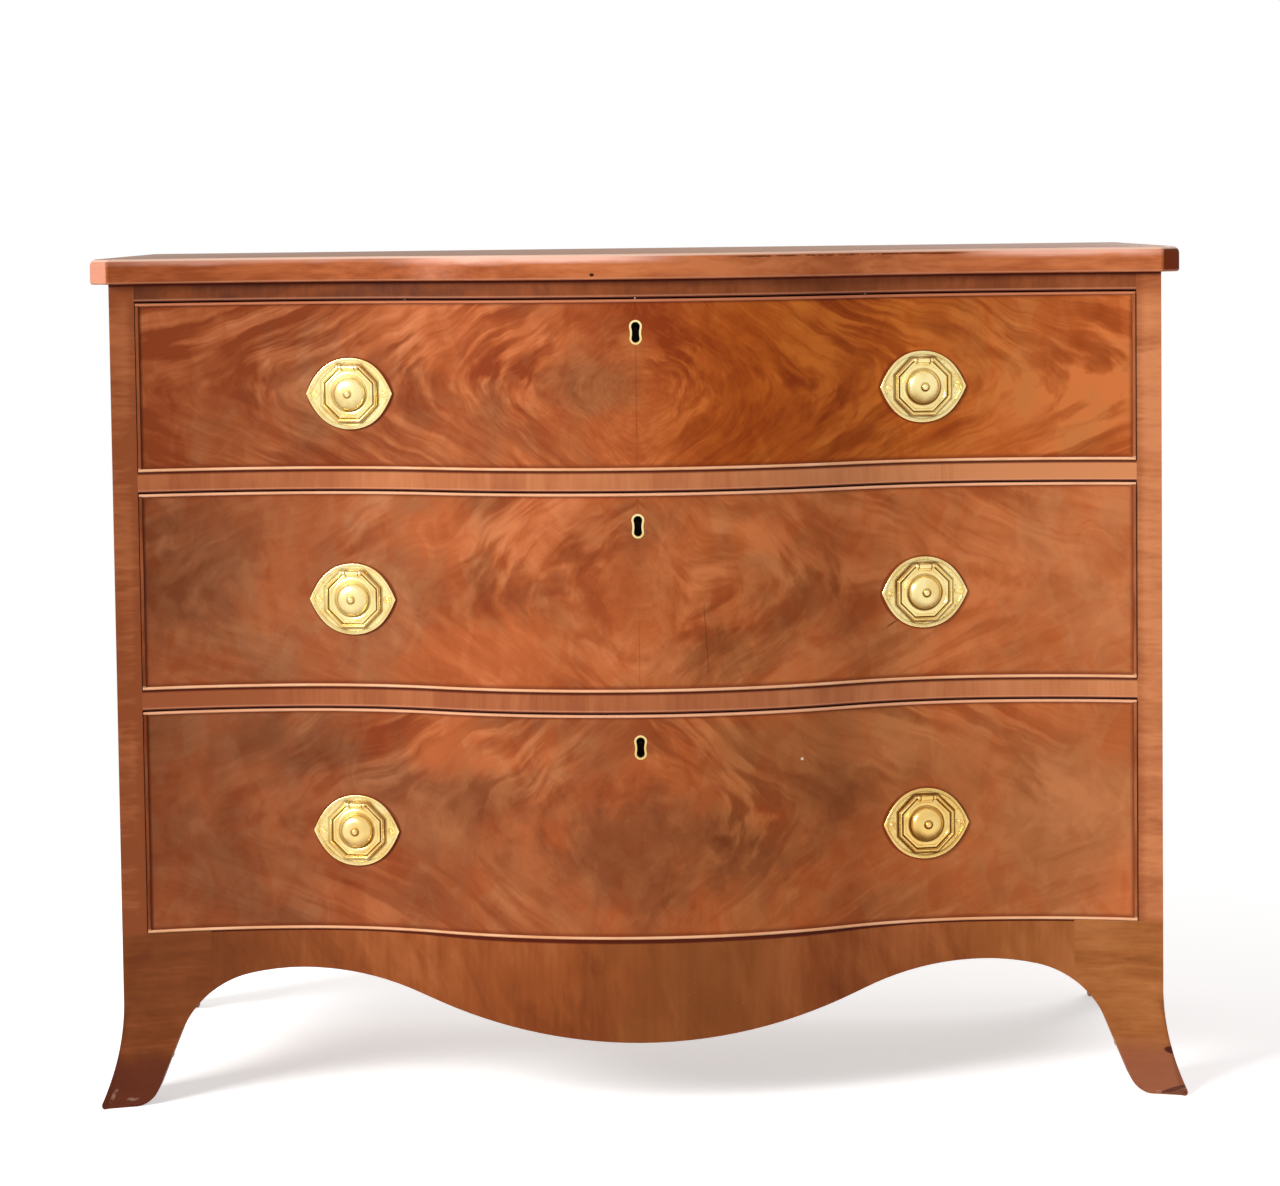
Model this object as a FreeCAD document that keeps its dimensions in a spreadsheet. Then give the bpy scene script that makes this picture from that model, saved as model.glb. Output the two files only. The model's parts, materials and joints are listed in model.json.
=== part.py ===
import FreeCAD, Part
import math
import os
from types import SimpleNamespace

import Sketcher

# Serpentine chest of three graduated drawers on splayed feet.
# Millimetres; x to the right, y to the back, z up; the floor is z = 0.
# The chest stands centred on the origin, its curved front towards -y.

sizes = {
    # case, from the floor up
    "case_width": 1080,
    "case_depth": 570,
    "base_height": 176,
    "lower_opening": 233,
    "middle_opening": 205,
    "upper_opening": 175.5,
    "blade_height": 21,
    "top_rail_height": 18.5,
    "front_thickness": 22,
    "stile_width": 25,
    "side_thickness": 18,
    "blade_depth": 45,
    # top board
    "top_thickness": 26,
    "top_front_overhang": 10,
    "top_side_overhang": 20,
    "top_back_overhang": 5,
    "top_upper_round": 7,
    "top_lower_round": 3,
    # serpentine plan: a bow in the middle, a hollow on either side
    "hollow_offset": 370,
    "hollow_depth": 90,
    "bow_share": 0.56,
    "end_radius": 590,
    # apron and feet
    "apron_bottom": 69.5,
    "arch_height": 135.5,
    "arch_offset": 356,
    "drop_share": 0.65,
    "crown_radius": 265,
    "crown_angle": 12,
    "shoulder_radius": 99,
    "toe_radius": 25,
    "toe_inset": 12.5,
    "flare_height": 106,
    "flare_reach": 23,
    "foot_width": 90,
    "foot_thickness": 22,
    "foot_block": 24,
    "foot_block_lift": 40,
    # boards inside the case
    "bottom_board_thickness": 15,
    "dust_thickness": 10,
    "housing_depth": 6,
    "back_thickness": 12,
    "back_rebate": 8,
    "back_board_gap": 1,
    "back_rail_depth": 40,
    "kicker_width": 42,
    "guide_height": 40,
    "stop_offset": 170,
    "stop_width": 40,
    "stop_length": 30,
    "stop_height": 4.5,
    # drawers
    "side_gap": 1,
    "top_gap": 1.6,
    "run_gap": 0.4,
    "seat_gap": 0.3,
    "bead_thickness": 3,
    "bead_depth": 9,
    "bead_reach": 1.8,
    "bead_bevel": 0.9,
    "lining": 11,
    "lining_drop": 4,
    "back_drop": 14,
    "back_clearance": 15,
    "drawer_bottom_thickness": 7,
    "drawer_bottom_lift": 8,
    "groove_depth": 5,
    "lap": 10,
    "tail_pitch": 52,
    "tail_share": 0.72,
    "tail_slope": 7,
    # keyhole and lock
    "keyhole_drop": 35,
    "keyhole_top_radius": 6.5,
    "keyhole_top_rise": 5.9,
    "keyhole_foot_radius": 6.2,
    "keyhole_foot_fall": 6.4,
    "keyhole_waist_radius": 20,
    "thread_width": 2,
    "thread_depth": 3,
    "thread_reach": 0.2,
    "lock_width": 68,
    "lock_height": 50,
    "lock_plate": 2.4,
    "lock_case_width": 60,
    "lock_case_height": 47,
    "lock_wall": 1.5,
    "lock_room": 6.5,
    "lock_fit": 0.2,
    "bolt_width": 28,
    "bolt_height": 24,
    "bolt_thickness": 4.5,
    "bolt_mortise": 9,
    "key_pin_radius": 1.6,
    # handles
    "handle_offset": 75,
    "handle_share": 0.447,
    "plate_width": 92,
    "plate_height": 74,
    "plate_thickness": 1.4,
    "plate_seat": 0.1,
    "plate_rim": 3.2,
    "rim_height": 3,
    "platform_apothem": 31.4,
    "platform_height": 2.2,
    "patera_radius": 4.2,
    "patera_offset": 36.6,
    "boss_radius": 20.6,
    "boss_step_height": 5.2,
    "dome_radius": 17.4,
    "dome_height": 12.6,
    "nipple_radius": 3.3,
    "nipple_height": 15.4,
    "ring_apothem": 29.5,
    "ring_width": 7,
    "ring_ridge": 1,
    "ring_back": 3.8,
    "ring_edge": 1.2,
    "ring_thickness": 4.2,
    "hinge_height": 27,
    "hinge_reach": 6.3,
    "barrel_length": 12.4,
    "barrel_radius": 2.6,
    "knuckle_gap": 0.4,
    "knuckle_length": 3.6,
    "knuckle_radius": 2.7,
    "pin_radius": 1.2,
    "pin_fit": 0.06,
    "post_radius": 2.5,
    "post_fit": 0.2,
    "post_tail": 9,
    "nut_radius": 6,
    "nut_thickness": 4,
}

doc = FreeCAD.newDocument("serpentine_chest")
sheet = doc.addObject("Spreadsheet::Sheet", "dims")
for row, (name, value) in enumerate(sizes.items(), start=1):
    sheet.set(f"A{row}", name)
    sheet.set(f"B{row}", str(value))
    sheet.setAlias(f"B{row}", name)
doc.recompute()


class Size:
    """A length, angle or share: its number now, and the sheet formula behind it."""

    def __init__(self, value, formula):
        self.value = value
        self.formula = formula

    def __add__(self, other):
        other = as_size(other)
        return Size(self.value + other.value, f"({self.formula} + {other.formula})")

    def __radd__(self, other):
        return as_size(other) + self

    def __sub__(self, other):
        other = as_size(other)
        return Size(self.value - other.value, f"({self.formula} - {other.formula})")

    def __rsub__(self, other):
        return as_size(other) - self

    def __mul__(self, other):
        other = as_size(other)
        return Size(self.value * other.value, f"({self.formula} * {other.formula})")

    def __rmul__(self, other):
        return as_size(other) * self

    def __truediv__(self, other):
        other = as_size(other)
        return Size(self.value / other.value, f"({self.formula} / {other.formula})")

    def __neg__(self):
        return Size(-self.value, f"(-1 * {self.formula})")


def as_size(value):
    return value if isinstance(value, Size) else Size(float(value), str(value))


def root(size):
    return Size(math.sqrt(size.value), f"sqrt({size.formula})")


def sine(size):
    return Size(math.sin(math.radians(size.value)), f"sin({size.formula} * 1 deg)")


def arcsine(size):
    return Size(math.degrees(math.asin(size.value)), f"asin({size.formula})")


def tangent_radii(run, rise, share):
    """Radii of two arcs that join smoothly and turn a level line into a lower level one."""
    both = (run * run + rise * rise) / (2 * rise)
    return both * share, both * (1 - share)


d = SimpleNamespace(**{name: Size(float(sheet.get(name)), f"dims.{name}") for name in sizes})

half_case = d.case_width / 2
half_opening = half_case - d.stile_width
half_inside = half_case - d.side_thickness
half_drawer = half_opening - d.side_gap
half_lining = half_drawer - d.lining

# the foremost point of the case front, and the back of the case
apex_y = (d.top_front_overhang - d.top_back_overhang - d.case_depth) / 2
back_y = apex_y + d.case_depth

lower_z = d.base_height
lower_blade_z = lower_z + d.lower_opening
middle_z = lower_blade_z + d.blade_height
upper_blade_z = middle_z + d.middle_opening
upper_z = upper_blade_z + d.blade_height
top_rail_z = upper_z + d.upper_opening
top_z = top_rail_z + d.top_rail_height

bow_radius, hollow_radius = tangent_radii(d.hollow_offset, d.hollow_depth, d.bow_share)
flare_radius = (d.flare_height * d.flare_height + d.flare_reach * d.flare_reach) / (2 * d.flare_reach)


def end_curve_y(x, behind):
    """Distance back from the apex, near the ends, of the curve that lies behind the front."""
    across = x - d.hollow_offset
    radius = d.end_radius + behind
    return d.hollow_depth - d.end_radius + root(radius * radius - across * across)


corner_y = apex_y + end_curve_y(half_case, 0)


def bind(obj, **formulas):
    for prop, size in formulas.items():
        obj.setExpression(prop, as_size(size).formula)


def place(obj, x=0, y=0, z=0, turn=None):
    for axis, size in (("x", x), ("y", y), ("z", z)):
        obj.setExpression(f"Placement.Base.{axis}", as_size(size).formula)
    if turn is not None:
        obj.setExpression("Placement.Rotation.Angle", as_size(turn).formula)


def tilt(obj, axis, angle):
    obj.Placement = FreeCAD.Placement(FreeCAD.Vector(), FreeCAD.Rotation(FreeCAD.Vector(*axis), angle))


def box(label, x, y, z):
    """A block from three pairs of limits."""
    obj = doc.addObject("Part::Box", label)
    bind(obj, Length=x[1] - x[0], Width=y[1] - y[0], Height=z[1] - z[0])
    place(obj, x[0], y[0], z[0])
    return obj


def cylinder(label, radius, length, axis=None, angle=0):
    obj = doc.addObject("Part::Cylinder", label)
    if axis:
        tilt(obj, axis, angle)
    bind(obj, Radius=radius, Height=length)
    return obj


def fuse(label, *pieces):
    obj = doc.addObject("Part::MultiFuse", label)
    obj.Shapes = list(pieces)
    obj.Refine = True
    return obj


def cut(label, base, *tools):
    obj = doc.addObject("Part::Cut", label)
    obj.Base = base
    obj.Tool = tools[0] if len(tools) == 1 else fuse(f"{label}_tools", *tools)
    obj.Refine = True
    return obj


def common(label, base, tool):
    obj = doc.addObject("Part::Common", label)
    obj.Base = base
    obj.Tool = tool
    obj.Refine = True
    return obj


def group(label, *pieces):
    obj = doc.addObject("Part::Compound", label)
    obj.Links = list(pieces)
    return obj


def mirrored(label, source):
    obj = doc.addObject("Part::Mirroring", label)
    obj.Source = source
    obj.Normal = FreeCAD.Vector(1, 0, 0)
    return obj


class Profile:
    """An outline drawn on one of a body's own planes, its sizes taken from the sheet."""

    def __init__(self, label, plane):
        self.body = doc.addObject("PartDesign::Body", label)
        self.sketch = self.body.newObject("Sketcher::SketchObject", f"{label}_outline")
        support = next(f for f in self.body.Origin.OriginFeatures if f.Role == plane)
        self.sketch.AttachmentSupport = [(support, "")]
        self.sketch.MapMode = "FlatFace"

    def line(self, start, end):
        a = FreeCAD.Vector(as_size(start[0]).value, as_size(start[1]).value, 0)
        b = FreeCAD.Vector(as_size(end[0]).value, as_size(end[1]).value, 0)
        return self.sketch.addGeometry(Part.LineSegment(a, b), False)

    def arc(self, centre, radius, first, last):
        c = FreeCAD.Vector(as_size(centre[0]).value, as_size(centre[1]).value, 0)
        circle = Part.Circle(c, FreeCAD.Vector(0, 0, 1), as_size(radius).value)
        curve = Part.ArcOfCircle(circle, math.radians(first), math.radians(last))
        return self.sketch.addGeometry(curve, False)

    def rule(self, kind, *where):
        self.sketch.addConstraint(Sketcher.Constraint(kind, *where))

    def fix(self, kind, *where, size):
        size = as_size(size)
        index = self.sketch.addConstraint(Sketcher.Constraint(kind, *where, size.value))
        self.sketch.setExpression(f"Constraints[{index}]", size.formula)

    def at(self, curve, end, x=None, y=None):
        """Hold a point of a curve at a distance from the sketch origin."""
        for kind, size, axis in (("DistanceX", x, -2), ("DistanceY", y, -1)):
            if size is None:
                continue
            size = as_size(size)
            if size.value == 0:
                self.rule("PointOnObject", curve, end, axis)
            elif size.value > 0:
                self.fix(kind, -1, 1, curve, end, size=size)
            else:
                self.fix(kind, curve, end, -1, 1, size=-size)

    def join(self, first, first_end, second, second_end):
        self.rule("Coincident", first, first_end, second, second_end)

    def smooth(self, first, first_end, second, second_end):
        self.rule("Tangent", first, first_end, second, second_end)

    def polygon(self, *corners):
        """A closed run of straight lines through corners given as sizes."""
        points = list(corners)
        lines = [self.line(a, b) for a, b in zip(points, points[1:] + points[:1])]
        for this, following in zip(lines, lines[1:] + lines[:1]):
            self.join(this, 2, following, 1)
        for this, (x, y) in zip(lines, points):
            self.at(this, 1, x, y)

    def pad(self, length):
        feature = self.body.newObject("PartDesign::Pad", f"{self.body.Name}_pad")
        feature.Profile = self.sketch
        bind(feature, Length=length)
        return self.body

    def revolve(self, angle):
        feature = self.body.newObject("PartDesign::Revolution", f"{self.body.Name}_turn")
        feature.Profile = self.sketch
        feature.ReferenceAxis = (self.sketch, ["V_Axis"])
        bind(feature, Angle=angle)
        return self.body


def edge_names(shape, wanted):
    return [f"Edge{n}" for n, edge in enumerate(shape.Edges, start=1) if wanted(edge)]


def round_over(body, base, radius, wanted):
    """Round the edges of a body's last feature that pass a test."""
    doc.recompute()
    feature = body.newObject("PartDesign::Fillet", f"{body.Name}_round")
    feature.Base = (base, edge_names(base.Shape, wanted))
    bind(feature, Radius=radius)
    body.Tip = feature
    return feature


def bevel(body, base, size, wanted):
    """Bevel the edges of a body's last feature that pass a test."""
    doc.recompute()
    feature = body.newObject("PartDesign::Chamfer", f"{body.Name}_bevel")
    feature.Base = (base, edge_names(base.Shape, wanted))
    bind(feature, Size=size)
    body.Tip = feature
    return feature


# The serpentine curve. In its sketches the origin is the foremost point of the case front
# and y runs to the back, so a shift forward is a larger bow and smaller hollows.


def serpentine(outline, forward, half_width):
    """Draw the front curve, shifted forward; give back its right and left ends."""
    forward = as_size(forward)
    half_width = as_size(half_width)
    lean = math.degrees(math.asin(d.hollow_offset.value / (bow_radius + hollow_radius).value))
    end_radius = d.end_radius - forward
    spread = math.degrees(math.asin((half_width - d.hollow_offset).value / end_radius.value))
    bow = outline.arc((0, bow_radius), bow_radius + forward, -90 - lean, -90 + lean)
    outline.at(bow, 3, 0, bow_radius)
    outline.fix("Radius", bow, size=bow_radius + forward)
    ends = []
    for side in (1, -1):
        x = side * d.hollow_offset
        inner_centre = (x, d.hollow_depth - hollow_radius)
        outer_centre = (x, d.hollow_depth - d.end_radius)
        inner_angles = (90, 90 + lean) if side > 0 else (90 - lean, 90)
        outer_angles = (90 - spread, 90) if side > 0 else (90, 90 + spread)
        inner = outline.arc(inner_centre, hollow_radius - forward, *inner_angles)
        outer = outline.arc(outer_centre, end_radius, *outer_angles)
        inward, outward = (2, 1) if side > 0 else (1, 2)
        outline.at(inner, 3, *inner_centre)
        outline.at(outer, 3, *outer_centre)
        outline.smooth(bow, inward, inner, inward)
        outline.smooth(inner, outward, outer, inward)
        outline.at(outer, outward, x=side * half_width)
        ends.append((outer, outward))
    return ends


def curved_board(label, forward, behind, half_width, z, height):
    """A board that follows the serpentine on both faces."""
    outline = Profile(label, "XY_Plane")
    front_ends = serpentine(outline, forward, half_width)
    back_ends = serpentine(outline, -as_size(behind), half_width)
    for side, front_end, back_end in zip((1, -1), front_ends, back_ends):
        x = side * as_size(half_width)
        edge = outline.line((x, 60), (x, 90))
        outline.join(edge, 1, *front_end)
        outline.join(edge, 2, *back_end)
    body = outline.pad(height)
    place(body, y=apex_y, z=z)
    return body


def shaped_board(label, forward, half_width, back, z, height, shoulder=None):
    """A board with a serpentine front and a straight back; a shoulder widens it behind a cant."""
    outline = Profile(label, "XY_Plane")
    right_end, left_end = serpentine(outline, forward, half_width)
    half = as_size(half_width)
    if shoulder:
        half = half_width + shoulder
    level = end_curve_y(as_size(half_width), -as_size(forward)) + (shoulder or 0)
    right = outline.line((half, level), (half, back))
    across = outline.line((half, back), (-half, back))
    left = outline.line((-half, back), (-half, level))
    for edge in (right, left):
        outline.rule("Vertical", edge)
    outline.rule("Horizontal", across)
    outline.join(right, 2, across, 1)
    outline.join(across, 2, left, 1)
    outline.at(across, 1, y=back)
    if shoulder:
        for side, corner, (edge, end) in ((1, right_end, (right, 1)), (-1, left_end, (left, 2))):
            cant = outline.line((side * half_width, level - shoulder), (side * half, level))
            outline.join(cant, 1, *corner)
            outline.join(cant, 2, edge, end)
            outline.at(cant, 2, x=side * half)
            outline.fix("DistanceY", *corner, cant, 2, size=shoulder)
    else:
        outline.join(right, 1, *right_end)
        outline.join(left, 2, *left_end)
    body = outline.pad(height)
    place(body, y=apex_y, z=z)
    return body


# Cutters and the layer that all front pieces are taken from
front_layer = curved_board("front_layer", 0, d.front_thickness, half_case, 0, top_z)
front_space = curved_board("front_space", 40, d.front_thickness, half_case + 60, -10, top_z + 20)
stop_space = curved_board("stop_space", 40, d.front_thickness + d.seat_gap, half_case + 60, -10, top_z + 20)

# Top board: moulded round the front, the cants and the ends, square at the back
top_board = shaped_board(
    "top_board",
    d.top_front_overhang,
    half_case,
    d.case_depth + d.top_back_overhang,
    top_z,
    d.top_thickness,
    d.top_side_overhang,
)
top_back = (d.case_depth + d.top_back_overhang).value


def moulded(level, curved):
    """The curved or the straight edges round the front and ends of the top board, at one level."""

    def wanted(edge):
        limits = edge.BoundBox
        flat = abs(limits.ZMin - level) < 1e-4 and abs(limits.ZMax - level) < 1e-4
        if not flat or limits.YMin > top_back - 1e-4:
            return False
        return isinstance(edge.Curve, Part.Line) != curved

    return wanted


for level, radius in ((d.top_thickness.value, d.top_upper_round), (0.0, d.top_lower_round)):
    for curved in (True, False):
        round_over(top_board, top_board.Tip, radius, moulded(level, curved))

# Sides: housed for the dust boards and the bottom board, rebated for the back boards
board_end = half_inside + d.housing_depth
board_back = back_y - d.back_thickness
side_blank = box(
    "side_blank", (half_inside, half_case), (corner_y, back_y), (d.arch_height, top_z)
)
side_housings = [
    box(f"{level}_housing", (half_inside - 1, board_end), (apex_y, board_back), (z - thick, z))
    for level, z, thick in (
        ("bottom", d.base_height, d.bottom_board_thickness),
        ("lower", middle_z, d.dust_thickness),
        ("upper", upper_z, d.dust_thickness),
    )
]
side_rebate = box(
    "side_rebate",
    (half_inside - 1, half_inside + d.back_rebate),
    (board_back, back_y + 1),
    (d.arch_height - 1, top_z + 1),
)
right_side = cut("right_side", side_blank, front_space, side_rebate, *side_housings)
left_side = mirrored("left_side", right_side)

# Stiles at the front corners, between the feet and the top board
stile_block = box(
    "stile_block", (half_opening, half_case), (apex_y, apex_y + 200), (d.base_height, top_z)
)
right_stile = common("right_stile", front_layer, stile_block)
left_stile = mirrored("left_stile", right_stile)

# Rails across the front, each mortised for the bolt of the lock below it
blade_back = d.hollow_depth + d.blade_depth
lock_face = d.front_thickness - d.lock_plate
lock_front = lock_face - d.lock_room - d.lock_wall
bolt_front = lock_face - d.lock_room + (d.lock_room - d.bolt_thickness) / 2
bolt_back = bolt_front + d.bolt_thickness


def rail(label, z, height):
    blank = shaped_board(f"{label}_blank", 0, half_opening, blade_back, z, height)
    mortise = box(
        f"{label}_mortise",
        (-d.bolt_width / 2 - 1, d.bolt_width / 2 + 1),
        (apex_y + bolt_front - 1, apex_y + bolt_back + 1),
        (z - 1, z + d.bolt_mortise),
    )
    return cut(label, blank, mortise)


top_rail = rail("top_rail", top_rail_z, d.top_rail_height)
upper_blade = rail("upper_blade", upper_blade_z, d.blade_height)
lower_blade = rail("lower_blade", lower_blade_z, d.blade_height)
back_rail = box(
    "back_rail",
    (-half_inside, half_inside),
    (board_back - d.back_rail_depth, board_back),
    (top_rail_z, top_z),
)

# Dust boards level with the tops of the blades, and the bottom board behind the apron
upper_dust_board, lower_dust_board = (
    box(
        f"{level}_dust_board",
        (-board_end, board_end),
        (apex_y + blade_back, board_back),
        (z - d.dust_thickness, z),
    )
    for level, z in (("upper", upper_z), ("lower", middle_z))
)
bottom_board = shaped_board(
    "bottom_board",
    -d.front_thickness,
    board_end,
    d.case_depth - d.back_thickness,
    d.base_height - d.bottom_board_thickness,
    d.bottom_board_thickness,
)

# Four upright back boards in the side rebates
back_span = 2 * (half_inside + d.back_rebate)
board_width = (back_span - 3 * d.back_board_gap) / 4
back_edges = [-back_span / 2 + n * (board_width + d.back_board_gap) for n in range(4)]
back_boards = group(
    "back_boards",
    *[
        box(f"back_board_{n}", (x, x + board_width), (board_back, back_y), (d.arch_height, top_z))
        for n, x in enumerate(back_edges, start=1)
    ],
)

# Apron: two arches either side of a central drop, following the serpentine
drop_radius, arch_radius = tangent_radii(d.arch_offset, d.arch_height - d.apron_bottom, d.drop_share)


def bracket(label, depth, turn=0):
    """The outline of a foot from the crown of its arch to the floor, padded through.

    Its sketch starts under the crown and runs outwards to the edge of the case.
    """
    edge = half_case - d.arch_offset
    outline = Profile(label, "XZ_Plane")
    crown_centre = (0, d.arch_height - d.crown_radius)
    fall = math.radians(90 - d.crown_angle.value)
    crown = outline.arc(crown_centre, d.crown_radius, math.degrees(fall), 90)
    reach = (d.crown_radius - d.shoulder_radius).value
    shoulder_at = (reach * math.cos(fall), crown_centre[1].value + reach * math.sin(fall))
    shoulder = outline.arc(shoulder_at, d.shoulder_radius, 22, math.degrees(fall))
    toe_at = ((edge - d.toe_inset).value, d.toe_radius.value)
    toe = outline.arc(toe_at, d.toe_radius, 202, 270)
    lean = math.radians(22)
    leg_top = [c + d.shoulder_radius.value * f(lean) for c, f in zip(shoulder_at, (math.cos, math.sin))]
    leg_foot = [c - d.toe_radius.value * f(lean) for c, f in zip(toe_at, (math.cos, math.sin))]
    leg = outline.line(leg_top, leg_foot)
    outside = edge + d.flare_reach
    floor = outline.line((edge - d.toe_inset, 0), (outside, 0))
    tip = math.degrees(math.asin(d.flare_height.value / flare_radius.value))
    flare = outline.arc((edge + flare_radius, d.flare_height), flare_radius, 180, 180 + tip)
    upright = outline.line((edge, d.flare_height), (edge, d.base_height))
    head = outline.line((edge, d.base_height), (0, d.base_height))
    inside = outline.line((0, d.base_height), (0, d.arch_height))

    outline.at(crown, 3, *crown_centre)
    outline.fix("Radius", crown, size=d.crown_radius)
    outline.at(crown, 1, x=d.crown_radius * sine(d.crown_angle))
    outline.fix("Radius", shoulder, size=d.shoulder_radius)
    outline.smooth(crown, 1, shoulder, 2)
    outline.smooth(shoulder, 1, leg, 1)
    outline.smooth(leg, 2, toe, 1)
    outline.fix("Radius", toe, size=d.toe_radius)
    outline.smooth(toe, 2, floor, 1)
    outline.at(floor, 1, edge - d.toe_inset, 0)
    outline.at(floor, 2, x=outside)
    outline.join(floor, 2, flare, 2)
    outline.smooth(flare, 1, upright, 1)
    outline.rule("Vertical", upright)
    outline.at(upright, 1, edge, d.flare_height)
    outline.join(upright, 2, head, 1)
    outline.rule("Horizontal", head)
    outline.at(head, 2, 0, d.base_height)
    outline.join(head, 2, inside, 1)
    outline.rule("Vertical", inside)
    outline.join(inside, 2, crown, 2)
    body = outline.pad(depth)
    tilt(body, (0, 0, 1), turn)
    return body


def apron_middle():
    """The apron's outline between the crowns of its two arches."""
    outline = Profile("apron_middle", "XZ_Plane")
    lean = math.degrees(math.asin(d.arch_offset.value / (drop_radius + arch_radius).value))
    drop = outline.arc((0, d.apron_bottom + drop_radius), drop_radius, -90 - lean, -90 + lean)
    outline.at(drop, 3, 0, d.apron_bottom + drop_radius)
    outline.fix("Radius", drop, size=drop_radius)
    head = outline.line((-d.arch_offset, d.base_height), (d.arch_offset, d.base_height))
    outline.at(head, 2, d.arch_offset, d.base_height)
    outline.at(head, 1, -d.arch_offset, d.base_height)
    for side, inward, outward in ((1, 2, 1), (-1, 1, 2)):
        x = side * d.arch_offset
        angles = (90, 90 + lean) if side > 0 else (90 - lean, 90)
        arch = outline.arc((x, d.arch_height - arch_radius), arch_radius, *angles)
        outline.at(arch, 3, x, d.arch_height - arch_radius)
        outline.smooth(drop, inward, arch, inward)
        end = outline.line((x, d.base_height), (x, d.arch_height))
        outline.join(end, 1, head, 2 if side > 0 else 1)
        outline.join(end, 2, arch, outward)
        outline.rule("Vertical", end)
    body = outline.pad(d.case_depth)
    place(body, y=apex_y + d.case_depth / 2)
    return body


def front_bracket(label):
    body = bracket(label, d.case_depth)
    place(body, x=d.arch_offset, y=apex_y + d.case_depth / 2)
    return body


right_arch = front_bracket("right_arch")
apron_outline = fuse("apron_outline", apron_middle(), right_arch, mirrored("left_arch", right_arch))
foot_joint = half_case - d.foot_width
apron_span = box(
    "apron_span", (-foot_joint, foot_joint), (apex_y - 50, apex_y + 250), (0, d.base_height)
)
apron = common("apron", common("apron_sheet", front_layer, apron_outline), apron_span)

# Front feet: the face turns about the axis of the end hollow and sweeps forward at the toe,
# the flank behind it sweeps outwards
face_outline = Profile("foot_face", "XZ_Plane")
face_back = d.end_radius + d.front_thickness
face_toe = d.end_radius - d.flare_reach
tip_angle = math.degrees(math.asin(d.flare_height.value / flare_radius.value))
face_sweep = face_outline.arc(
    (d.end_radius - flare_radius, d.flare_height), flare_radius, -tip_angle, 0
)
face_front = face_outline.line((d.end_radius, d.flare_height), (d.end_radius, d.base_height))
face_head = face_outline.line((d.end_radius, d.base_height), (face_back, d.base_height))
face_rear = face_outline.line((face_back, d.base_height), (face_back, 0))
face_floor = face_outline.line((face_back, 0), (face_toe, 0))
face_outline.smooth(face_sweep, 2, face_front, 1)
face_outline.rule("Vertical", face_front)
face_outline.at(face_front, 1, d.end_radius, d.flare_height)
face_outline.join(face_front, 2, face_head, 1)
face_outline.rule("Horizontal", face_head)
face_outline.join(face_head, 2, face_rear, 1)
face_outline.rule("Vertical", face_rear)
face_outline.at(face_rear, 1, face_back, d.base_height)
face_outline.join(face_rear, 2, face_floor, 1)
face_outline.at(face_rear, 2, y=0)
face_outline.join(face_floor, 2, face_sweep, 1)
face_outline.at(face_floor, 2, face_toe, 0)
foot_face = face_outline.revolve(30)
tilt(foot_face, (0, 0, 1), 60)
place(foot_face, x=d.hollow_offset, y=apex_y + d.hollow_depth - d.end_radius)
face_block = box(
    "face_block", (foot_joint, half_case + 60), (apex_y - 50, apex_y + 250), (0, d.base_height)
)
face_shape = common("face_shape", foot_face, front_bracket("face_bracket"))
foot_front = common("foot_front", face_shape, face_block)

flank_outline = Profile("foot_flank", "XZ_Plane")
flank_inside = half_case - d.foot_thickness
flank_sweep = flank_outline.arc(
    (half_case + flare_radius, d.flare_height), flare_radius, 180, 180 + tip_angle
)
flank_upright = flank_outline.line((half_case, d.flare_height), (half_case, d.arch_height))
flank_head = flank_outline.line((half_case, d.arch_height), (flank_inside, d.arch_height))
flank_rear = flank_outline.line((flank_inside, d.arch_height), (flank_inside, 0))
flank_floor = flank_outline.line((flank_inside, 0), (half_case + d.flare_reach, 0))
flank_outline.smooth(flank_sweep, 1, flank_upright, 1)
flank_outline.rule("Vertical", flank_upright)
flank_outline.at(flank_upright, 1, half_case, d.flare_height)
flank_outline.join(flank_upright, 2, flank_head, 1)
flank_outline.rule("Horizontal", flank_head)
flank_outline.join(flank_head, 2, flank_rear, 1)
flank_outline.rule("Vertical", flank_rear)
flank_outline.at(flank_rear, 1, flank_inside, d.arch_height)
flank_outline.join(flank_rear, 2, flank_floor, 1)
flank_outline.at(flank_rear, 2, y=0)
flank_outline.join(flank_floor, 2, flank_sweep, 2)
flank_outline.at(flank_floor, 2, half_case + d.flare_reach, 0)
foot_flank = flank_outline.pad(d.case_depth)
place(foot_flank, y=back_y)

foot_run = half_case - d.arch_offset
front_flank_bracket = bracket("front_flank_bracket", 160, -90)
place(front_flank_bracket, x=half_case + 80, y=corner_y + foot_run)
front_flank = common("front_flank", foot_flank, front_flank_bracket)
right_front_foot = fuse(
    "right_front_foot", foot_front, cut("front_flank_end", front_flank, front_space)
)
left_front_foot = mirrored("left_front_foot", right_front_foot)

# Back feet: the flank sweeps outwards only, and a plain bracket that dies into it closes the back
back_flank_bracket = bracket("back_flank_bracket", 160, 90)
place(back_flank_bracket, x=half_case - 80, y=back_y - foot_run)
back_flank = common("back_flank", foot_flank, back_flank_bracket)
rear_bracket = bracket("rear_bracket", d.foot_thickness)
place(rear_bracket, x=d.arch_offset + d.foot_thickness, y=back_y)
rear_block = box(
    "rear_block", (d.arch_offset, flank_inside), (back_y - 40, back_y + 10), (0, d.arch_height)
)
right_back_foot = fuse(
    "right_back_foot", back_flank, common("rear_bracket_end", rear_bracket, rear_block)
)
left_back_foot = mirrored("left_back_foot", right_back_foot)

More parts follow.
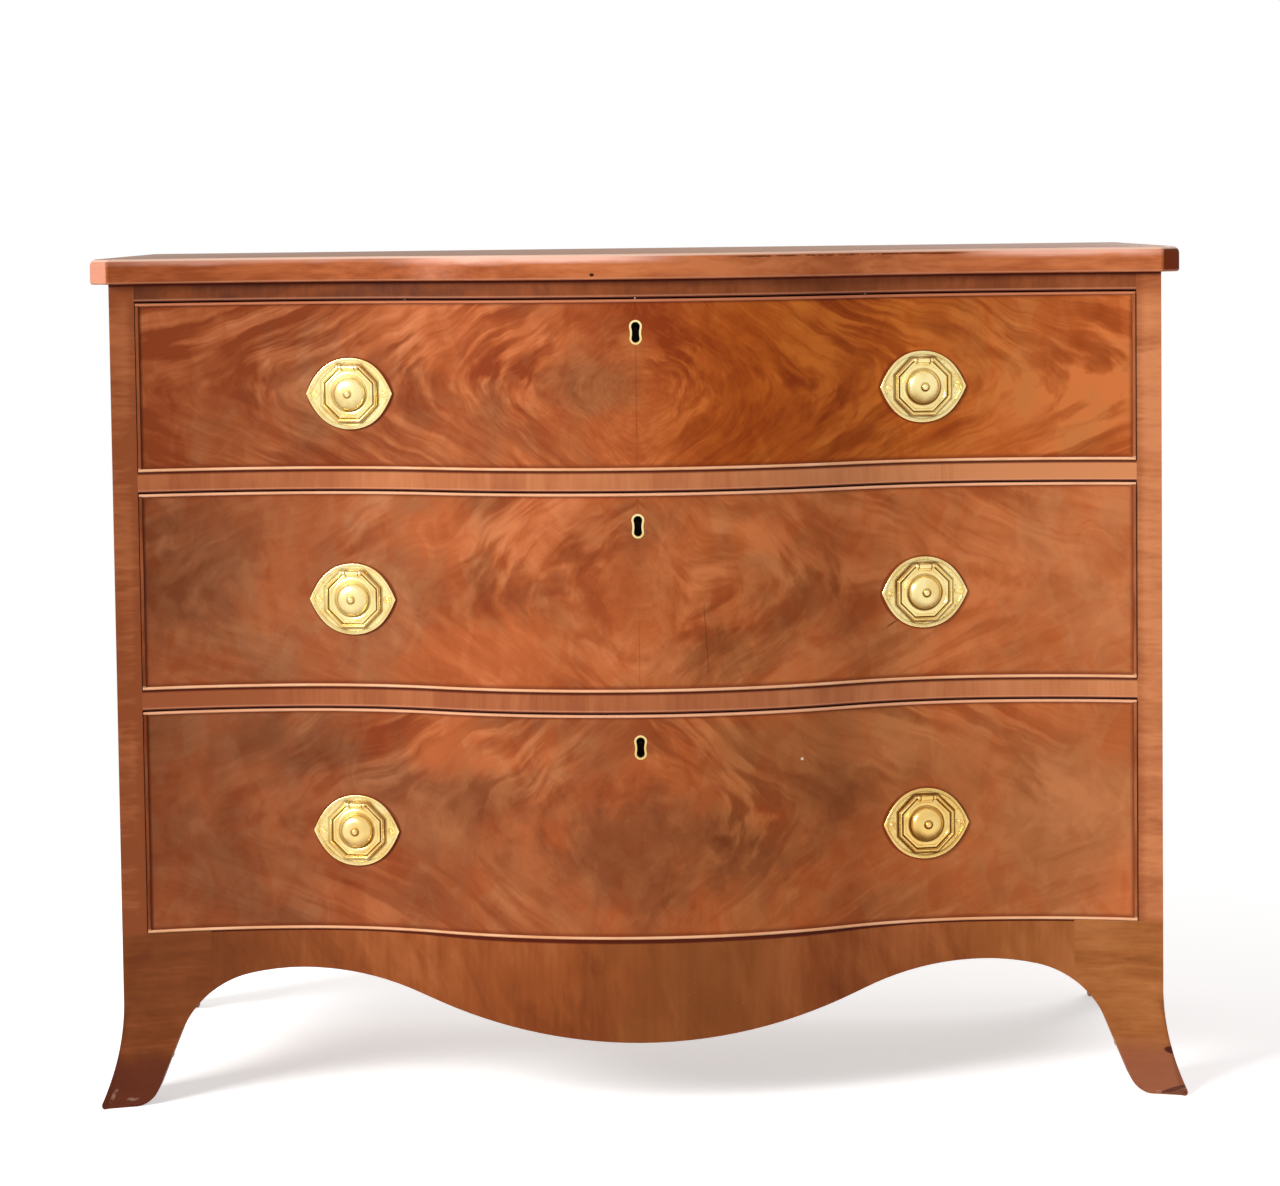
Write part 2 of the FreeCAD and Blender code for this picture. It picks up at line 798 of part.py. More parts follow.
# Glue blocks in the angles of the feet
block_x = (flank_inside - d.foot_block, flank_inside)
block_z = (d.foot_block_lift, d.arch_height)
rear_face = back_y - d.foot_thickness
right_front_block = cut(
    "right_front_block",
    box("front_block_blank", block_x, (corner_y, corner_y + d.front_thickness + d.foot_block), block_z),
    front_space,
)
right_back_block = box("right_back_block", block_x, (rear_face - d.foot_block, rear_face), block_z)
glue_blocks = group(
    "glue_blocks",
    right_front_block,
    right_back_block,
    mirrored("left_front_block", right_front_block),
    mirrored("left_back_block", right_back_block),
)

# Guide strips: an L along each side of each drawer, beside it and over its top edge
drawers = (
    ("upper", upper_z, d.upper_opening, top_z),
    ("middle", middle_z, d.middle_opening, upper_z - d.dust_thickness),
    ("lower", lower_z, d.lower_opening, middle_z - d.dust_thickness),
)
strips = []
for level, z, opening, ceiling in drawers:
    head = z + opening
    strip_y = (apex_y + blade_back, board_back - d.back_rail_depth)
    kicker_z = (head - d.lining_drop + 1, ceiling)
    kicker = box(f"{level}_kicker", (half_inside - d.kicker_width, half_inside), strip_y, kicker_z)
    guide = box(
        f"{level}_guide",
        (half_drawer + 0.5, half_inside),
        strip_y,
        (head - d.guide_height, head - d.lining_drop + 1),
    )
    strip = fuse(f"{level}_right_strip", kicker, guide)
    strips += [strip, mirrored(f"{level}_left_strip", strip)]
guide_strips = group("guide_strips", *strips)

# Drawer stops, small blocks just behind the drawer fronts
stops = []
for level, z, opening, ceiling in drawers:
    blank = box(
        f"{level}_stop_blank",
        (d.stop_offset - d.stop_width / 2, d.stop_offset + d.stop_width / 2),
        (apex_y + d.front_thickness, apex_y + d.hollow_depth + d.stop_length),
        (z, z + d.stop_height),
    )
    stop = cut(f"{level}_right_stop", blank, stop_space)
    stops += [stop, mirrored(f"{level}_left_stop", stop)]
drawer_stops = group("drawer_stops", *stops)

# Handles. They are made once on a flat face, x to the right, y up and z out of the drawer,
# around the cylinder of the hollow they sit in, and then set in place six times.


def shell(label, height):
    """The layer that a raised part of the backplate fills, bent to the drawer front."""
    reach = d.plate_height + 20
    tools = []
    for name, radius in (("skin", hollow_radius - d.plate_seat), ("core", hollow_radius - height)):
        tool = cylinder(f"{label}_{name}", radius, reach, (1, 0, 0), -90)
        place(tool, y=-reach / 2, z=hollow_radius)
        tools.append(tool)
    return cut(f"{label}_shell", *tools)


def navette(label, inset):
    """A pointed oval of two arcs, padded through the plate."""
    half = d.plate_width / 2
    rise = d.plate_height / 2
    full = (half * half + rise * rise) / (2 * rise)
    sink = full - rise
    radius = full - inset
    tip = root(radius * radius - sink * sink)
    angle = math.degrees(math.asin(sink.value / radius.value))
    outline = Profile(label, "XY_Plane")
    over = outline.arc((0, -sink), radius, angle, 180 - angle)
    under = outline.arc((0, sink), radius, 180 + angle, 360 - angle)
    outline.fix("Radius", over, size=radius)
    outline.fix("Radius", under, size=radius)
    outline.at(over, 1, tip, 0)
    outline.at(over, 2, -tip, 0)
    outline.join(over, 1, under, 2)
    outline.join(over, 2, under, 1)
    body = outline.pad(20)
    place(body, z=-5)
    return body


def octagon(label, apothem, z):
    obj = doc.addObject("Part::RegularPolygon", label)
    tilt(obj, (0, 0, 1), 22.5)
    obj.Polygon = 8
    bind(obj, Circumradius=apothem / math.cos(math.pi / 8))
    place(obj, z=z)
    return obj


def octagon_stack(label, *levels):
    """A solid that runs straight from one octagon to the next."""
    obj = doc.addObject("Part::Loft", label)
    obj.Sections = [octagon(f"{label}_{n}", apothem, z) for n, (apothem, z) in enumerate(levels)]
    obj.Solid = True
    obj.Ruled = True
    return obj


plate_field = common("plate_field", navette("plate_outline", 0), shell("field", d.plate_thickness))
rim_prism = cut("rim_prism", navette("rim_outer", 0), navette("rim_inner", d.plate_rim))
plate_rim = common("plate_rim", rim_prism, shell("rim", d.rim_height))
platform_prism = octagon_stack("platform_prism", (d.platform_apothem, -5), (d.platform_apothem, 15))
plate_platform = common("plate_platform", platform_prism, shell("platform", d.platform_height))
paterae = []
for side in (1, -1):
    disc = cylinder(f"patera_disc_{side + 1}", d.patera_radius, 20)
    place(disc, x=side * d.patera_offset, z=-5)
    paterae.append(common(f"patera_{side + 1}", disc, shell(f"patera_{side + 1}", d.platform_height)))

# boss: a stepped base, a dome and a small nipple, turned about the axis out of the plate
boss_outline = Profile("boss", "XZ_Plane")
boss_outline.polygon(
    (0, 1),
    (d.boss_radius, 1),
    (d.boss_radius, d.boss_step_height - 1),
    (d.boss_radius - 1, d.boss_step_height),
    (d.dome_radius + 0.8, d.boss_step_height),
    (d.dome_radius, d.boss_step_height - 0.8),
    (d.dome_radius - 0.6, d.boss_step_height + 2),
    (d.dome_radius * 0.82, d.dome_height * 0.76),
    (d.dome_radius * 0.58, d.dome_height * 0.93),
    (d.nipple_radius + 1, d.dome_height),
    (d.nipple_radius, d.dome_height - 0.6),
    (d.nipple_radius, d.nipple_height - 1.4),
    (d.nipple_radius * 0.6, d.nipple_height),
    (0, d.nipple_height),
)
boss = boss_outline.revolve(360)
post_hole = cylinder("post_hole", d.post_radius + d.post_fit, 80)
place(post_hole, y=d.hinge_height, z=-60)
plate_relief = fuse("plate_relief", plate_field, plate_rim, plate_platform, *paterae, boss)
plate = cut("plate", plate_relief, post_hole)

# ring: an eight-sided loop with a ridge, open at the top for the barrel
ring_inside = d.ring_apothem - d.ring_width
ridge_outside = d.ring_apothem - (d.ring_width - d.ring_ridge) / 2
ridge_inside = ridge_outside - d.ring_ridge
ring_shoulder = d.ring_back + d.ring_edge
ring_front = d.ring_back + d.ring_thickness
loop_outside = octagon_stack(
    "loop_outside",
    (d.ring_apothem, d.ring_back),
    (d.ring_apothem, ring_shoulder),
    (ridge_outside, ring_front),
)
loop_inside = octagon_stack(
    "loop_inside",
    (ring_inside, d.ring_back - 1),
    (ring_inside, ring_shoulder),
    (ridge_inside, ring_front),
    (ridge_inside, ring_front + 1),
)
knuckle_start = d.barrel_length / 2 + d.knuckle_gap
knuckle_end = knuckle_start + d.knuckle_length


def along_hinge(label, radius, start, end):
    obj = cylinder(label, radius, end - start, (0, 1, 0), 90)
    place(obj, x=start, y=d.hinge_height, z=d.hinge_reach)
    return obj


loop_gap = box(
    "loop_gap",
    (-knuckle_start, knuckle_start),
    (d.hinge_height - 10, d.hinge_height + 10),
    (as_size(0), ring_front + 5),
)
loop = cut("loop", loop_outside, loop_inside, loop_gap)
ring_blank = fuse(
    "ring_blank",
    loop,
    along_hinge("right_knuckle", d.knuckle_radius, knuckle_start, knuckle_end),
    along_hinge("left_knuckle", d.knuckle_radius, -knuckle_end, -knuckle_start),
)
pin_bore = along_hinge("pin_bore", d.pin_radius + d.pin_fit, -knuckle_end - 5, knuckle_end + 5)
ring = cut("ring", ring_blank, pin_bore)

# post with its barrel and hinge pin, and the nut that draws the handle tight
post_end = -d.front_thickness - d.post_tail
post_shank = cylinder("post_shank", d.post_radius, d.hinge_reach - post_end)
place(post_shank, y=d.hinge_height, z=post_end)
post = fuse(
    "post",
    post_shank,
    along_hinge("barrel", d.barrel_radius, -d.barrel_length / 2, d.barrel_length / 2),
    along_hinge("hinge_pin", d.pin_radius, -knuckle_end, knuckle_end),
)
nut_blank = cylinder("nut_blank", d.nut_radius, d.nut_thickness)
place(nut_blank, y=d.hinge_height, z=-d.front_thickness - d.nut_thickness)
nut_bore = cylinder("nut_bore", d.post_radius, 80)
place(nut_bore, y=d.hinge_height, z=-60)
nut = cut("nut", nut_blank, nut_bore)

seat_turn = arcsine(d.handle_offset / hollow_radius)
seat_x = d.hollow_offset - d.handle_offset
seat_y = apex_y + d.hollow_depth - hollow_radius + root(
    hollow_radius * hollow_radius - d.handle_offset * d.handle_offset
)


def seated(label, piece, side, z):
    """Stand a handle piece up and set it on the drawer front, to the right or the left."""
    upright = group(f"{label}_upright", piece)
    tilt(upright, (1, 0, 0), 90)
    obj = group(label, upright)
    tilt(obj, (0, 0, 1), side * seat_turn.value)
    place(obj, x=side * seat_x, y=seat_y, z=z, turn=side * seat_turn)
    return obj


# Keyhole outline: two round ends and a waist, drawn on the drawer front


def keyhole(label, inset, depth, y, z):
    """A keyhole-shaped prism, from y forward through the drawer face."""
    top = (0, d.keyhole_top_rise)
    foot = (0, -d.keyhole_foot_fall)
    top_radius = d.keyhole_top_radius - inset
    foot_radius = d.keyhole_foot_radius - inset
    waist_radius = d.keyhole_waist_radius + inset
    to_top = (top_radius + waist_radius).value
    to_foot = (foot_radius + waist_radius).value
    apart = (d.keyhole_top_rise + d.keyhole_foot_fall).value
    down = (to_top**2 - to_foot**2 + apart**2) / (2 * apart)
    across = math.sqrt(to_top**2 - down**2)
    upper = math.degrees(math.asin(down / to_top))
    under = math.degrees(math.asin((apart - down) / to_foot))
    outline = Profile(label, "XZ_Plane")
    head = outline.arc(top, top_radius, -upper, 180 + upper)
    base = outline.arc(foot, foot_radius, 180 - under, 360 + under)
    for curve, centre, radius in ((head, top, top_radius), (base, foot, foot_radius)):
        outline.at(curve, 3, *centre)
        outline.fix("Radius", curve, size=radius)
    waist_z = d.keyhole_top_rise.value - down
    right = outline.arc((across, waist_z), waist_radius, 180 - upper, 180 + under)
    left = outline.arc((-across, waist_z), waist_radius, -under, upper)
    for waist, head_end, base_end, ends in ((right, 1, 2, (1, 2)), (left, 2, 1, (2, 1))):
        outline.fix("Radius", waist, size=waist_radius)
        outline.smooth(head, head_end, waist, ends[0])
        outline.smooth(waist, ends[1], base, base_end)
    body = outline.pad(depth)
    place(body, y=y, z=z)
    return body


def tail_row(label, x, y, z, wide_first):
    """Dovetails one above another between two heights, wide at their outer end."""
    tails = round((z[1] - z[0]).value / d.tail_pitch.value)
    pitch = (z[1] - z[0]) / tails
    wide = pitch * d.tail_share
    narrow = wide - 2 * (y[1] - y[0]) / d.tail_slope
    first, last = (wide, narrow) if wide_first else (narrow, wide)
    wedges = []
    for n in range(tails):
        middle = z[0] + pitch * (n + 0.5)
        wedge = doc.addObject("Part::Wedge", f"{label}_{n + 1}")
        bind(wedge, Xmin=x[0], Xmax=x[1], X2min=x[0], X2max=x[1], Ymin=y[0], Ymax=y[1])
        bind(wedge, Zmin=middle - first / 2, Zmax=middle + first / 2)
        bind(wedge, Z2min=middle - last / 2, Z2max=middle + last / 2)
        wedges.append(wedge)
    return fuse(label, *wedges)


def make_drawer(level, z, opening, ceiling):
    """All the pieces of one drawer, by their names."""
    foot_z = z + d.run_gap
    head_z = z + opening - d.top_gap
    lining_z = (foot_z, z + opening - d.lining_drop)
    floor_z = (foot_z + d.drawer_bottom_lift, foot_z + d.drawer_bottom_lift + d.drawer_bottom_thickness)
    rear_y = board_back - d.back_clearance
    lining_x = (half_lining, half_drawer)

    # cockbeads: bevelled strips let into the edges of the front and standing a little proud
    bead = (d.bead_reach, d.bead_depth, half_drawer)
    strips = []
    for name, bead_z in (("top", head_z - d.bead_thickness), ("bottom", foot_z)):
        strip = curved_board(f"{level}_{name}_bead", *bead, bead_z, d.bead_thickness)
        bevel(strip, strip.Tip, d.bead_bevel, on_nose)
        strips.append(strip)
    end_z = foot_z + d.bead_thickness
    end_layer = curved_board(
        f"{level}_bead_layer", *bead, end_z, head_z - d.bead_thickness - end_z
    )
    end_block = box(
        f"{level}_bead_block",
        (half_drawer - d.bead_thickness, half_drawer),
        (apex_y, apex_y + 150),
        (foot_z, head_z),
    )
    right_bead = common(f"{level}_right_bead", end_layer, end_block)
    cockbead = group(
        f"{level}_cockbead", *strips, right_bead, mirrored(f"{level}_left_bead", right_bead)
    )

    # the front, dovetailed, grooved and cut for its lock and handles
    front_blank = curved_board(
        f"{level}_front_blank", 0, d.front_thickness, half_drawer, foot_z, head_z - foot_z
    )
    lap_y = apex_y + end_curve_y(half_lining, 0) + d.lap
    tail_back = apex_y + end_curve_y(half_lining, d.front_thickness) + 2
    front_tails = tail_row(f"{level}_front_tails", (half_lining, half_drawer + 1),
                           (lap_y, tail_back), lining_z, True)
    groove = shaped_board(
        f"{level}_front_groove",
        d.groove_depth + 0.3 - d.front_thickness,
        half_lining + d.groove_depth + 0.3,
        d.hollow_depth + 60,
        floor_z[0],
        d.drawer_bottom_thickness,
    )
    key_z = z + opening - d.keyhole_drop
    recess_y = apex_y + lock_front - 1
    recess = box(
        f"{level}_lock_recess",
        (-d.lock_width / 2 - d.lock_fit, d.lock_width / 2 + d.lock_fit),
        (recess_y, apex_y + d.front_thickness + 20),
        (head_z - d.lock_height - d.lock_fit, head_z + 1),
    )
    thread_seat = keyhole(f"{level}_thread_seat", 0, 20, apex_y + d.thread_depth, key_z)
    key_slot = keyhole(f"{level}_key_slot", d.thread_width, 40, recess_y + 5, key_z)
    handle_z = z + opening * d.handle_share
    holes = [seated(f"{level}_post_hole_{n}", post_hole, side, handle_z) for n, side in enumerate((1, -1))]
    front = cut(
        f"{level}_front", front_blank, *strips, right_bead, cockbead.Links[3], front_tails,
        mirrored(f"{level}_left_tails", front_tails), groove, recess, thread_seat, key_slot, *holes,
    )

    # linings: a back between two sides, and a bottom that slides in under the back
    back_z = (floor_z[1], z + opening - d.back_drop)
    rear_tails = tail_row(f"{level}_rear_tails", (half_lining, half_drawer + 1),
                          (rear_y - d.lining, rear_y), back_z, False)
    back_blank = box(f"{level}_back_blank", (-half_drawer, half_drawer), (rear_y - d.lining, rear_y), back_z)
    back = cut(f"{level}_back", back_blank, rear_tails, mirrored(f"{level}_left_rear_tails", rear_tails))
    side_blank = box(f"{level}_side_blank", lining_x, (lap_y, rear_y), lining_z)
    side_groove = box(
        f"{level}_side_groove", (half_lining - 1, half_lining + d.groove_depth + 0.3), (apex_y, back_y), floor_z
    )
    right = cut(f"{level}_right_side", side_blank, front, back, side_groove)
    left = mirrored(f"{level}_left_side", right)
    bottom = shaped_board(
        f"{level}_bottom",
        d.groove_depth - d.front_thickness,
        half_lining + d.groove_depth,
        rear_y - apex_y,
        floor_z[0],
        d.drawer_bottom_thickness,
    )

    # escutcheon, a thread of brass set in the face
    thread_y = apex_y + d.thread_depth
    thread_length = d.thread_depth + d.thread_reach
    escutcheon = cut(
        f"{level}_escutcheon",
        keyhole(f"{level}_thread", 0, thread_length, thread_y, key_z),
        keyhole(f"{level}_thread_opening", d.thread_width, 40, thread_y + 10, key_z),
    )

    # lock: a plate and case let into the back of the front, with a bolt that rises through the top
    half_plate = d.lock_width / 2
    half_box = d.lock_case_width / 2
    lock_plate = box(
        f"{level}_lock_plate",
        (-half_plate, half_plate),
        (apex_y + lock_face, apex_y + d.front_thickness),
        (head_z - d.lock_height, head_z),
    )
    selvedge = box(
        f"{level}_selvedge",
        (-half_plate, half_plate),
        (apex_y + lock_front, apex_y + d.front_thickness),
        (head_z - d.lock_plate, head_z),
    )
    lock_shell = box(
        f"{level}_lock_shell",
        (-half_box, half_box),
        (apex_y + lock_front, apex_y + lock_face),
        (head_z - d.lock_case_height, head_z),
    )
    lock_room = box(
        f"{level}_lock_room",
        (-half_box + d.lock_wall, half_box - d.lock_wall),
        (apex_y + lock_front + d.lock_wall, apex_y + lock_face),
        (head_z - d.lock_case_height + d.lock_wall, head_z - d.lock_plate),
    )
    bolt_x = (-d.bolt_width / 2, d.bolt_width / 2)
    bolt_slot = box(
        f"{level}_bolt_slot",
        (bolt_x[0] - d.lock_fit, bolt_x[1] + d.lock_fit),
        (apex_y + bolt_front - d.lock_fit, apex_y + bolt_back + d.lock_fit),
        (head_z - d.lock_plate - 1, head_z + 1),
    )
    key_pin = cylinder(f"{level}_key_pin", d.key_pin_radius, d.lock_room, (1, 0, 0), 90)
    place(key_pin, y=apex_y + lock_face, z=key_z + d.keyhole_top_rise - 3)
    lock_body = fuse(f"{level}_lock_body", lock_plate, selvedge, lock_shell)
    lock_hollow = cut(f"{level}_lock_hollow", lock_body, lock_room, bolt_slot, lock_keyway(level, key_z))
    lock = fuse(f"{level}_lock", lock_hollow, key_pin)
    bolt = box(
        f"{level}_lock_bolt",
        bolt_x,
        (apex_y + bolt_front, apex_y + bolt_back),
        (head_z - d.bolt_height, head_z),
    )

    plates = group(
        f"{level}_handle_plates",
        seated(f"{level}_right_plate", plate, 1, handle_z),
        seated(f"{level}_left_plate", plate, -1, handle_z),
    )
    posts = group(
        f"{level}_handle_posts",
        *[
            seated(f"{level}_{name}_{n}", piece, side, handle_z)
            for name, piece in (("post", post), ("nut", nut))
            for n, side in enumerate((1, -1))
        ],
    )
    right_ring = seated(f"{level}_right_ring", ring, 1, handle_z)
    left_ring = seated(f"{level}_left_ring", ring, -1, handle_z)
    return [front, cockbead, right, left, back, bottom, escutcheon, lock, bolt, plates, posts,
            right_ring, left_ring]


def lock_keyway(level, key_z):
    """The keyhole through the front wall of a lock case."""
    keyway_y = apex_y + lock_front + d.lock_wall
    return keyhole(f"{level}_keyway", d.thread_width, d.lock_wall * 2, keyway_y, key_z)


def on_nose(edge):
    """The two long edges at the front of a bead, in the sketch frame of the serpentine."""
    middle = edge.valueAt((edge.FirstParameter + edge.LastParameter) / 2)
    if edge.BoundBox.ZLength > 1e-4 or edge.BoundBox.XLength < 5:
        return False
    x = abs(middle.x)
    if x <= (d.hollow_offset * d.bow_share).value:
        front = bow_radius.value - math.hypot(middle.x, bow_radius.value - middle.y)
        return abs(front + d.bead_reach.value) < 0.01
    radius = hollow_radius if x < d.hollow_offset.value else d.end_radius
    centre_y = (d.hollow_depth - radius).value
    reach = math.hypot(x - d.hollow_offset.value, middle.y - centre_y)
    return abs(radius.value - reach - d.bead_reach.value) < 0.01


nodes = [
    top_board, right_side, left_side, right_stile, left_stile, top_rail, upper_blade, lower_blade,
    back_rail, upper_dust_board, lower_dust_board, bottom_board, back_boards, apron,
    right_front_foot, left_front_foot, right_back_foot, left_back_foot, glue_blocks, guide_strips,
    drawer_stops,
]
for drawer in drawers:
    nodes += make_drawer(*drawer)
doc.recompute()

for obj in doc.Objects:
    if "Invalid" in obj.State or "Error" in obj.State:
        raise RuntimeError(f"{obj.Label} did not build: {obj.State}")
os.makedirs("parts", exist_ok=True)
for node in nodes:
    if node.Shape.isNull() or not node.Shape.isValid():
        raise RuntimeError(f"{node.Label} has no valid shape")
    node.Shape.exportStep(os.path.join("parts", f"{node.Label}.step"))
print(len(nodes), "parts written")
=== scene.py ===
import json
import math
import bmesh
import bpy
from mathutils import Matrix, Vector


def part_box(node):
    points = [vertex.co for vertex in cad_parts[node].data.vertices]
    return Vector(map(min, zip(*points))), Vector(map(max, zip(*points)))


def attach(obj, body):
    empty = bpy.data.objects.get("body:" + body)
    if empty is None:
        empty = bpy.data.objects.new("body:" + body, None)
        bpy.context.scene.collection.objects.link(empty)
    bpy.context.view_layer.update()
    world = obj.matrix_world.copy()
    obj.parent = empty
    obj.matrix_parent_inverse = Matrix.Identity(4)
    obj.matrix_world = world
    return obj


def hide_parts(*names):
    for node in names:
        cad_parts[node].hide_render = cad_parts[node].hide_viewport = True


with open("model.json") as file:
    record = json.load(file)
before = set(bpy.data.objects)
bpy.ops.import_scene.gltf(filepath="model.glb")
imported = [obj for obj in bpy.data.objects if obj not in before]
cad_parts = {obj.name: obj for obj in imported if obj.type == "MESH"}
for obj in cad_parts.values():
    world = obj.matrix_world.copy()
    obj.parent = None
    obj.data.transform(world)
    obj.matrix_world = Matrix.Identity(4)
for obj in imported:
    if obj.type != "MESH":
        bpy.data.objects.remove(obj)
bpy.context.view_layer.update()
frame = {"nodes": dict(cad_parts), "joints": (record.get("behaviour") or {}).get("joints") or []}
nodes = frame["nodes"]
levels = ("upper", "middle", "lower")
mm = 0.001
rungs = ("apron", "lower_blade", "upper_blade", "top_rail")  # each drawer slides between two of them
openings = {
    level: (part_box(below)[1][2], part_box(above)[0][2])
    for level, below, above in zip(reversed(levels), rungs, rungs[1:])
}
hinges = {joint["child"]: joint for joint in frame["joints"] if joint["type"] == "hinge"}
frontCurve = {  # millimetres: bow in the middle, a hollow each side, then the ends
    "hollowAt": 370.0, "hollowDepth": 90.0, "bowShare": 0.56, "endRadius": 590.0,
    "reach": 545.0,
    "closeTo": 0.93, "astray": 0.75, "upright": 0.05, "leaning": 0.1,  # of unit normals, for the shading
}


def arcRadius(half, rise):  # of an arc that climbs by rise over half its width
    return (half ** 2 + rise ** 2) / (2 * rise)


bothRadii = arcRadius(frontCurve["hollowAt"], frontCurve["hollowDepth"])
frontCurve["bowRadius"] = bothRadii * frontCurve["bowShare"]
frontCurve["hollowRadius"] = bothRadii - frontCurve["bowRadius"]
frontCurve["bowEnd"] = frontCurve["hollowAt"] * frontCurve["bowShare"]
handleSizes = {  # millimetres, x right, y up, z out of the drawer
    "half": 46, "rise": 37, "clear": 43.6, "back": 0.1, "arcCuts": 200, "bendCuts": 11, "bendStep": 4,
    "draw": 0.085, "drawAt": 36, "drawPower": 6,  # how the outline draws in towards the tips
    "rimWidth": 3.0, "rimHeight": 3.0, "rimBevel": 0.9, "fieldHeight": 1.4, "fieldInset": 0.4,
    "foot": 0.6,  # the raised parts start inside the plate
    "platformApothem": 31.0, "platformHeight": 2.2, "platformSteps": ((0.8, 0.0), (0.5, -0.5)),
    "collarApothem": 25.2, "collarHeight": 4.4,
    "collarSteps": ((0.5, 0.45), (0.8, 0.15), (1.2, 0.0), (0.6, -0.5)),  # inward, then up or down
    "pateraAt": 36.6, "pateraRadius": 4.2, "pateraHeight": 1.9,
    "pateraSteps": ((0.4, 0.35), (0.7, 0.0), (0.4, -0.7), (0.5, 0.0), (0.4, 0.6), (0.7, 0.4)),
    "bossFoot": 1.0,
    "bead": 22.4, "beadCrown": 20.6, "beadFoot": 4.5, "beadHeight": 5.3, "groove": 18.1, "grooveHeight": 3.2,
    "dome": 17.6, "domeHeight": 12.4, "domePower": 2.5, "knobRoot": 4.4, "knobFoot": 11.7, "knob": 3.6,
    "knobTip": 0.9, "knobHeight": 15.35,
}
ringSizes = {
    "apothem": 29.7, "width": 3.8, "ridge": 0.8, "back": 3.8, "edge": 1.4, "thickness": 4.0,
    "hingeUp": 27, "hingeOut": 6.3, "gap": 6.6, "knuckleEnd": 10.2, "knuckleRadius": 2.7,
    "bevel": 0.25, "knuckleBevel": 0.9, "notchOut": 6, "notchTall": 20, "notchDeep": 14,
}
octagon = {"sides": 8, "turn": 22.5, "corner": 1 / math.cos(math.pi / 8)}  # flat side up
plateArc = arcRadius(handleSizes["half"], handleSizes["rise"])
plateSink = plateArc - handleSizes["rise"]
print("frame loaded:", len(nodes), "nodes")


class Wire:  # one value on its way through a finish
    def __init__(self, finish, socket):
        self.finish = finish
        self.socket = socket

    def math(self, operation, *others):
        values = {n: value for n, value in enumerate((self,) + others)}
        return self.finish.add("ShaderNodeMath", {"operation": operation}, values)

    def __add__(self, other):
        return self.math("ADD", other)

    __radd__ = __add__

    def __sub__(self, other):
        return self.math("SUBTRACT", other)

    def __rsub__(self, other):
        return self.finish.add("ShaderNodeMath", {"operation": "SUBTRACT"}, {0: other, 1: self})

    def __mul__(self, other):
        return self.math("MULTIPLY", other)

    __rmul__ = __mul__

    def __truediv__(self, other):
        return self.math("DIVIDE", other)

    def __pow__(self, other):
        return self.math("POWER", other)

    def __abs__(self):
        return self.math("ABSOLUTE")

    def clamp(self):
        return self.finish.add("ShaderNodeClamp", {}, {0: self})

    def rise(self, start, end):  # 0 below start, 1 above end, soft between
        return self.finish.add("ShaderNodeMapRange", {"interpolation_type": "SMOOTHSTEP"},
                               {0: self, 1: start, 2: end, 3: 0, 4: 1})


class Finish:  # a material and the nodes that make it
    def __init__(self, name, tree=None):
        self.material = None
        self.colour = None
        if tree is None:
            self.material = bpy.data.materials.new(name)
            self.material.use_nodes = True
            tree = self.material.node_tree
            self.shader = tree.nodes["Principled BSDF"]
        self.tree = tree

    def add(self, kind, settings=None, sockets=None, out=0):
        node = self.tree.nodes.new(kind)
        for name, value in (settings or {}).items():
            if name == "stops":
                self.setStops(node, value)
            else:
                setattr(node, name, value)
        self.feed(node, sockets or {})
        return Wire(self, node.outputs[out])

    def setStops(self, node, stops):
        ramp = node.color_ramp
        while len(ramp.elements) < len(stops):
            ramp.elements.new(0.5)
        for element, (place, colour) in zip(ramp.elements, stops):
            element.position = place
            element.color = (*colour, 1)

    def feed(self, node, sockets):
        for name, value in sockets.items():
            socket = node.inputs[name]
            if isinstance(value, Wire):
                self.tree.links.new(value.socket, socket)
            elif isinstance(value, tuple) and socket.type == "RGBA" and len(value) == 3:
                socket.default_value = (*value, 1)
            else:
                socket.default_value = value

    def place(self):
        return self.add("ShaderNodeTexCoord", {}, {}, "Object")

    def facing(self):
        return self.split(self.add("ShaderNodeNewGeometry", {}, {}, "Normal"))

    def split(self, vector):
        node = self.tree.nodes.new("ShaderNodeSeparateXYZ")
        self.tree.links.new(vector.socket, node.inputs[0])
        return [Wire(self, node.outputs[n]) for n in range(3)]

    def join(self, x, y, z):
        return self.add("ShaderNodeCombineXYZ", {}, {0: x, 1: y, 2: z})

    def stretch(self, vector, scale):
        return self.add("ShaderNodeMapping", {}, {0: vector, 3: scale})

    def noise(self, vector, scale, detail=3, roughness=0.5, distortion=0):
        return self.add("ShaderNodeTexNoise", {}, {
            "Vector": vector, "Scale": scale, "Detail": detail, "Roughness": roughness,
            "Distortion": distortion})

    def cells(self, vector, scale, out="Distance"):
        return self.add("ShaderNodeTexVoronoi", {}, {"Vector": vector, "Scale": scale}, out)

    def grain(self, place, scale, *noise):  # noise drawn out along one way
        return self.noise(self.stretch(place, scale), 1, *noise)

    def ramp(self, value, stops):
        return self.add("ShaderNodeValToRGB", {"stops": stops}, {0: value})

    def mix(self, factor, first, second, blend="MIX"):
        return self.add("ShaderNodeMix", {"data_type": "RGBA", "blend_type": blend},
                        {0: factor, 6: first, 7: second}, 2)

    def paint(self, mask, tone, blend="MIX"):  # lay a tone over the colour so far
        self.colour = self.mix(mask, self.colour, tone, blend)

    def bump(self, height, strength, distance):
        return self.add("ShaderNodeBump", {}, {
            "Height": height, "Strength": strength, "Distance": distance})

    def done(self, **sockets):
        self.feed(self.shader, {name.replace("_", " "): value for name, value in sockets.items()})
        return self.material


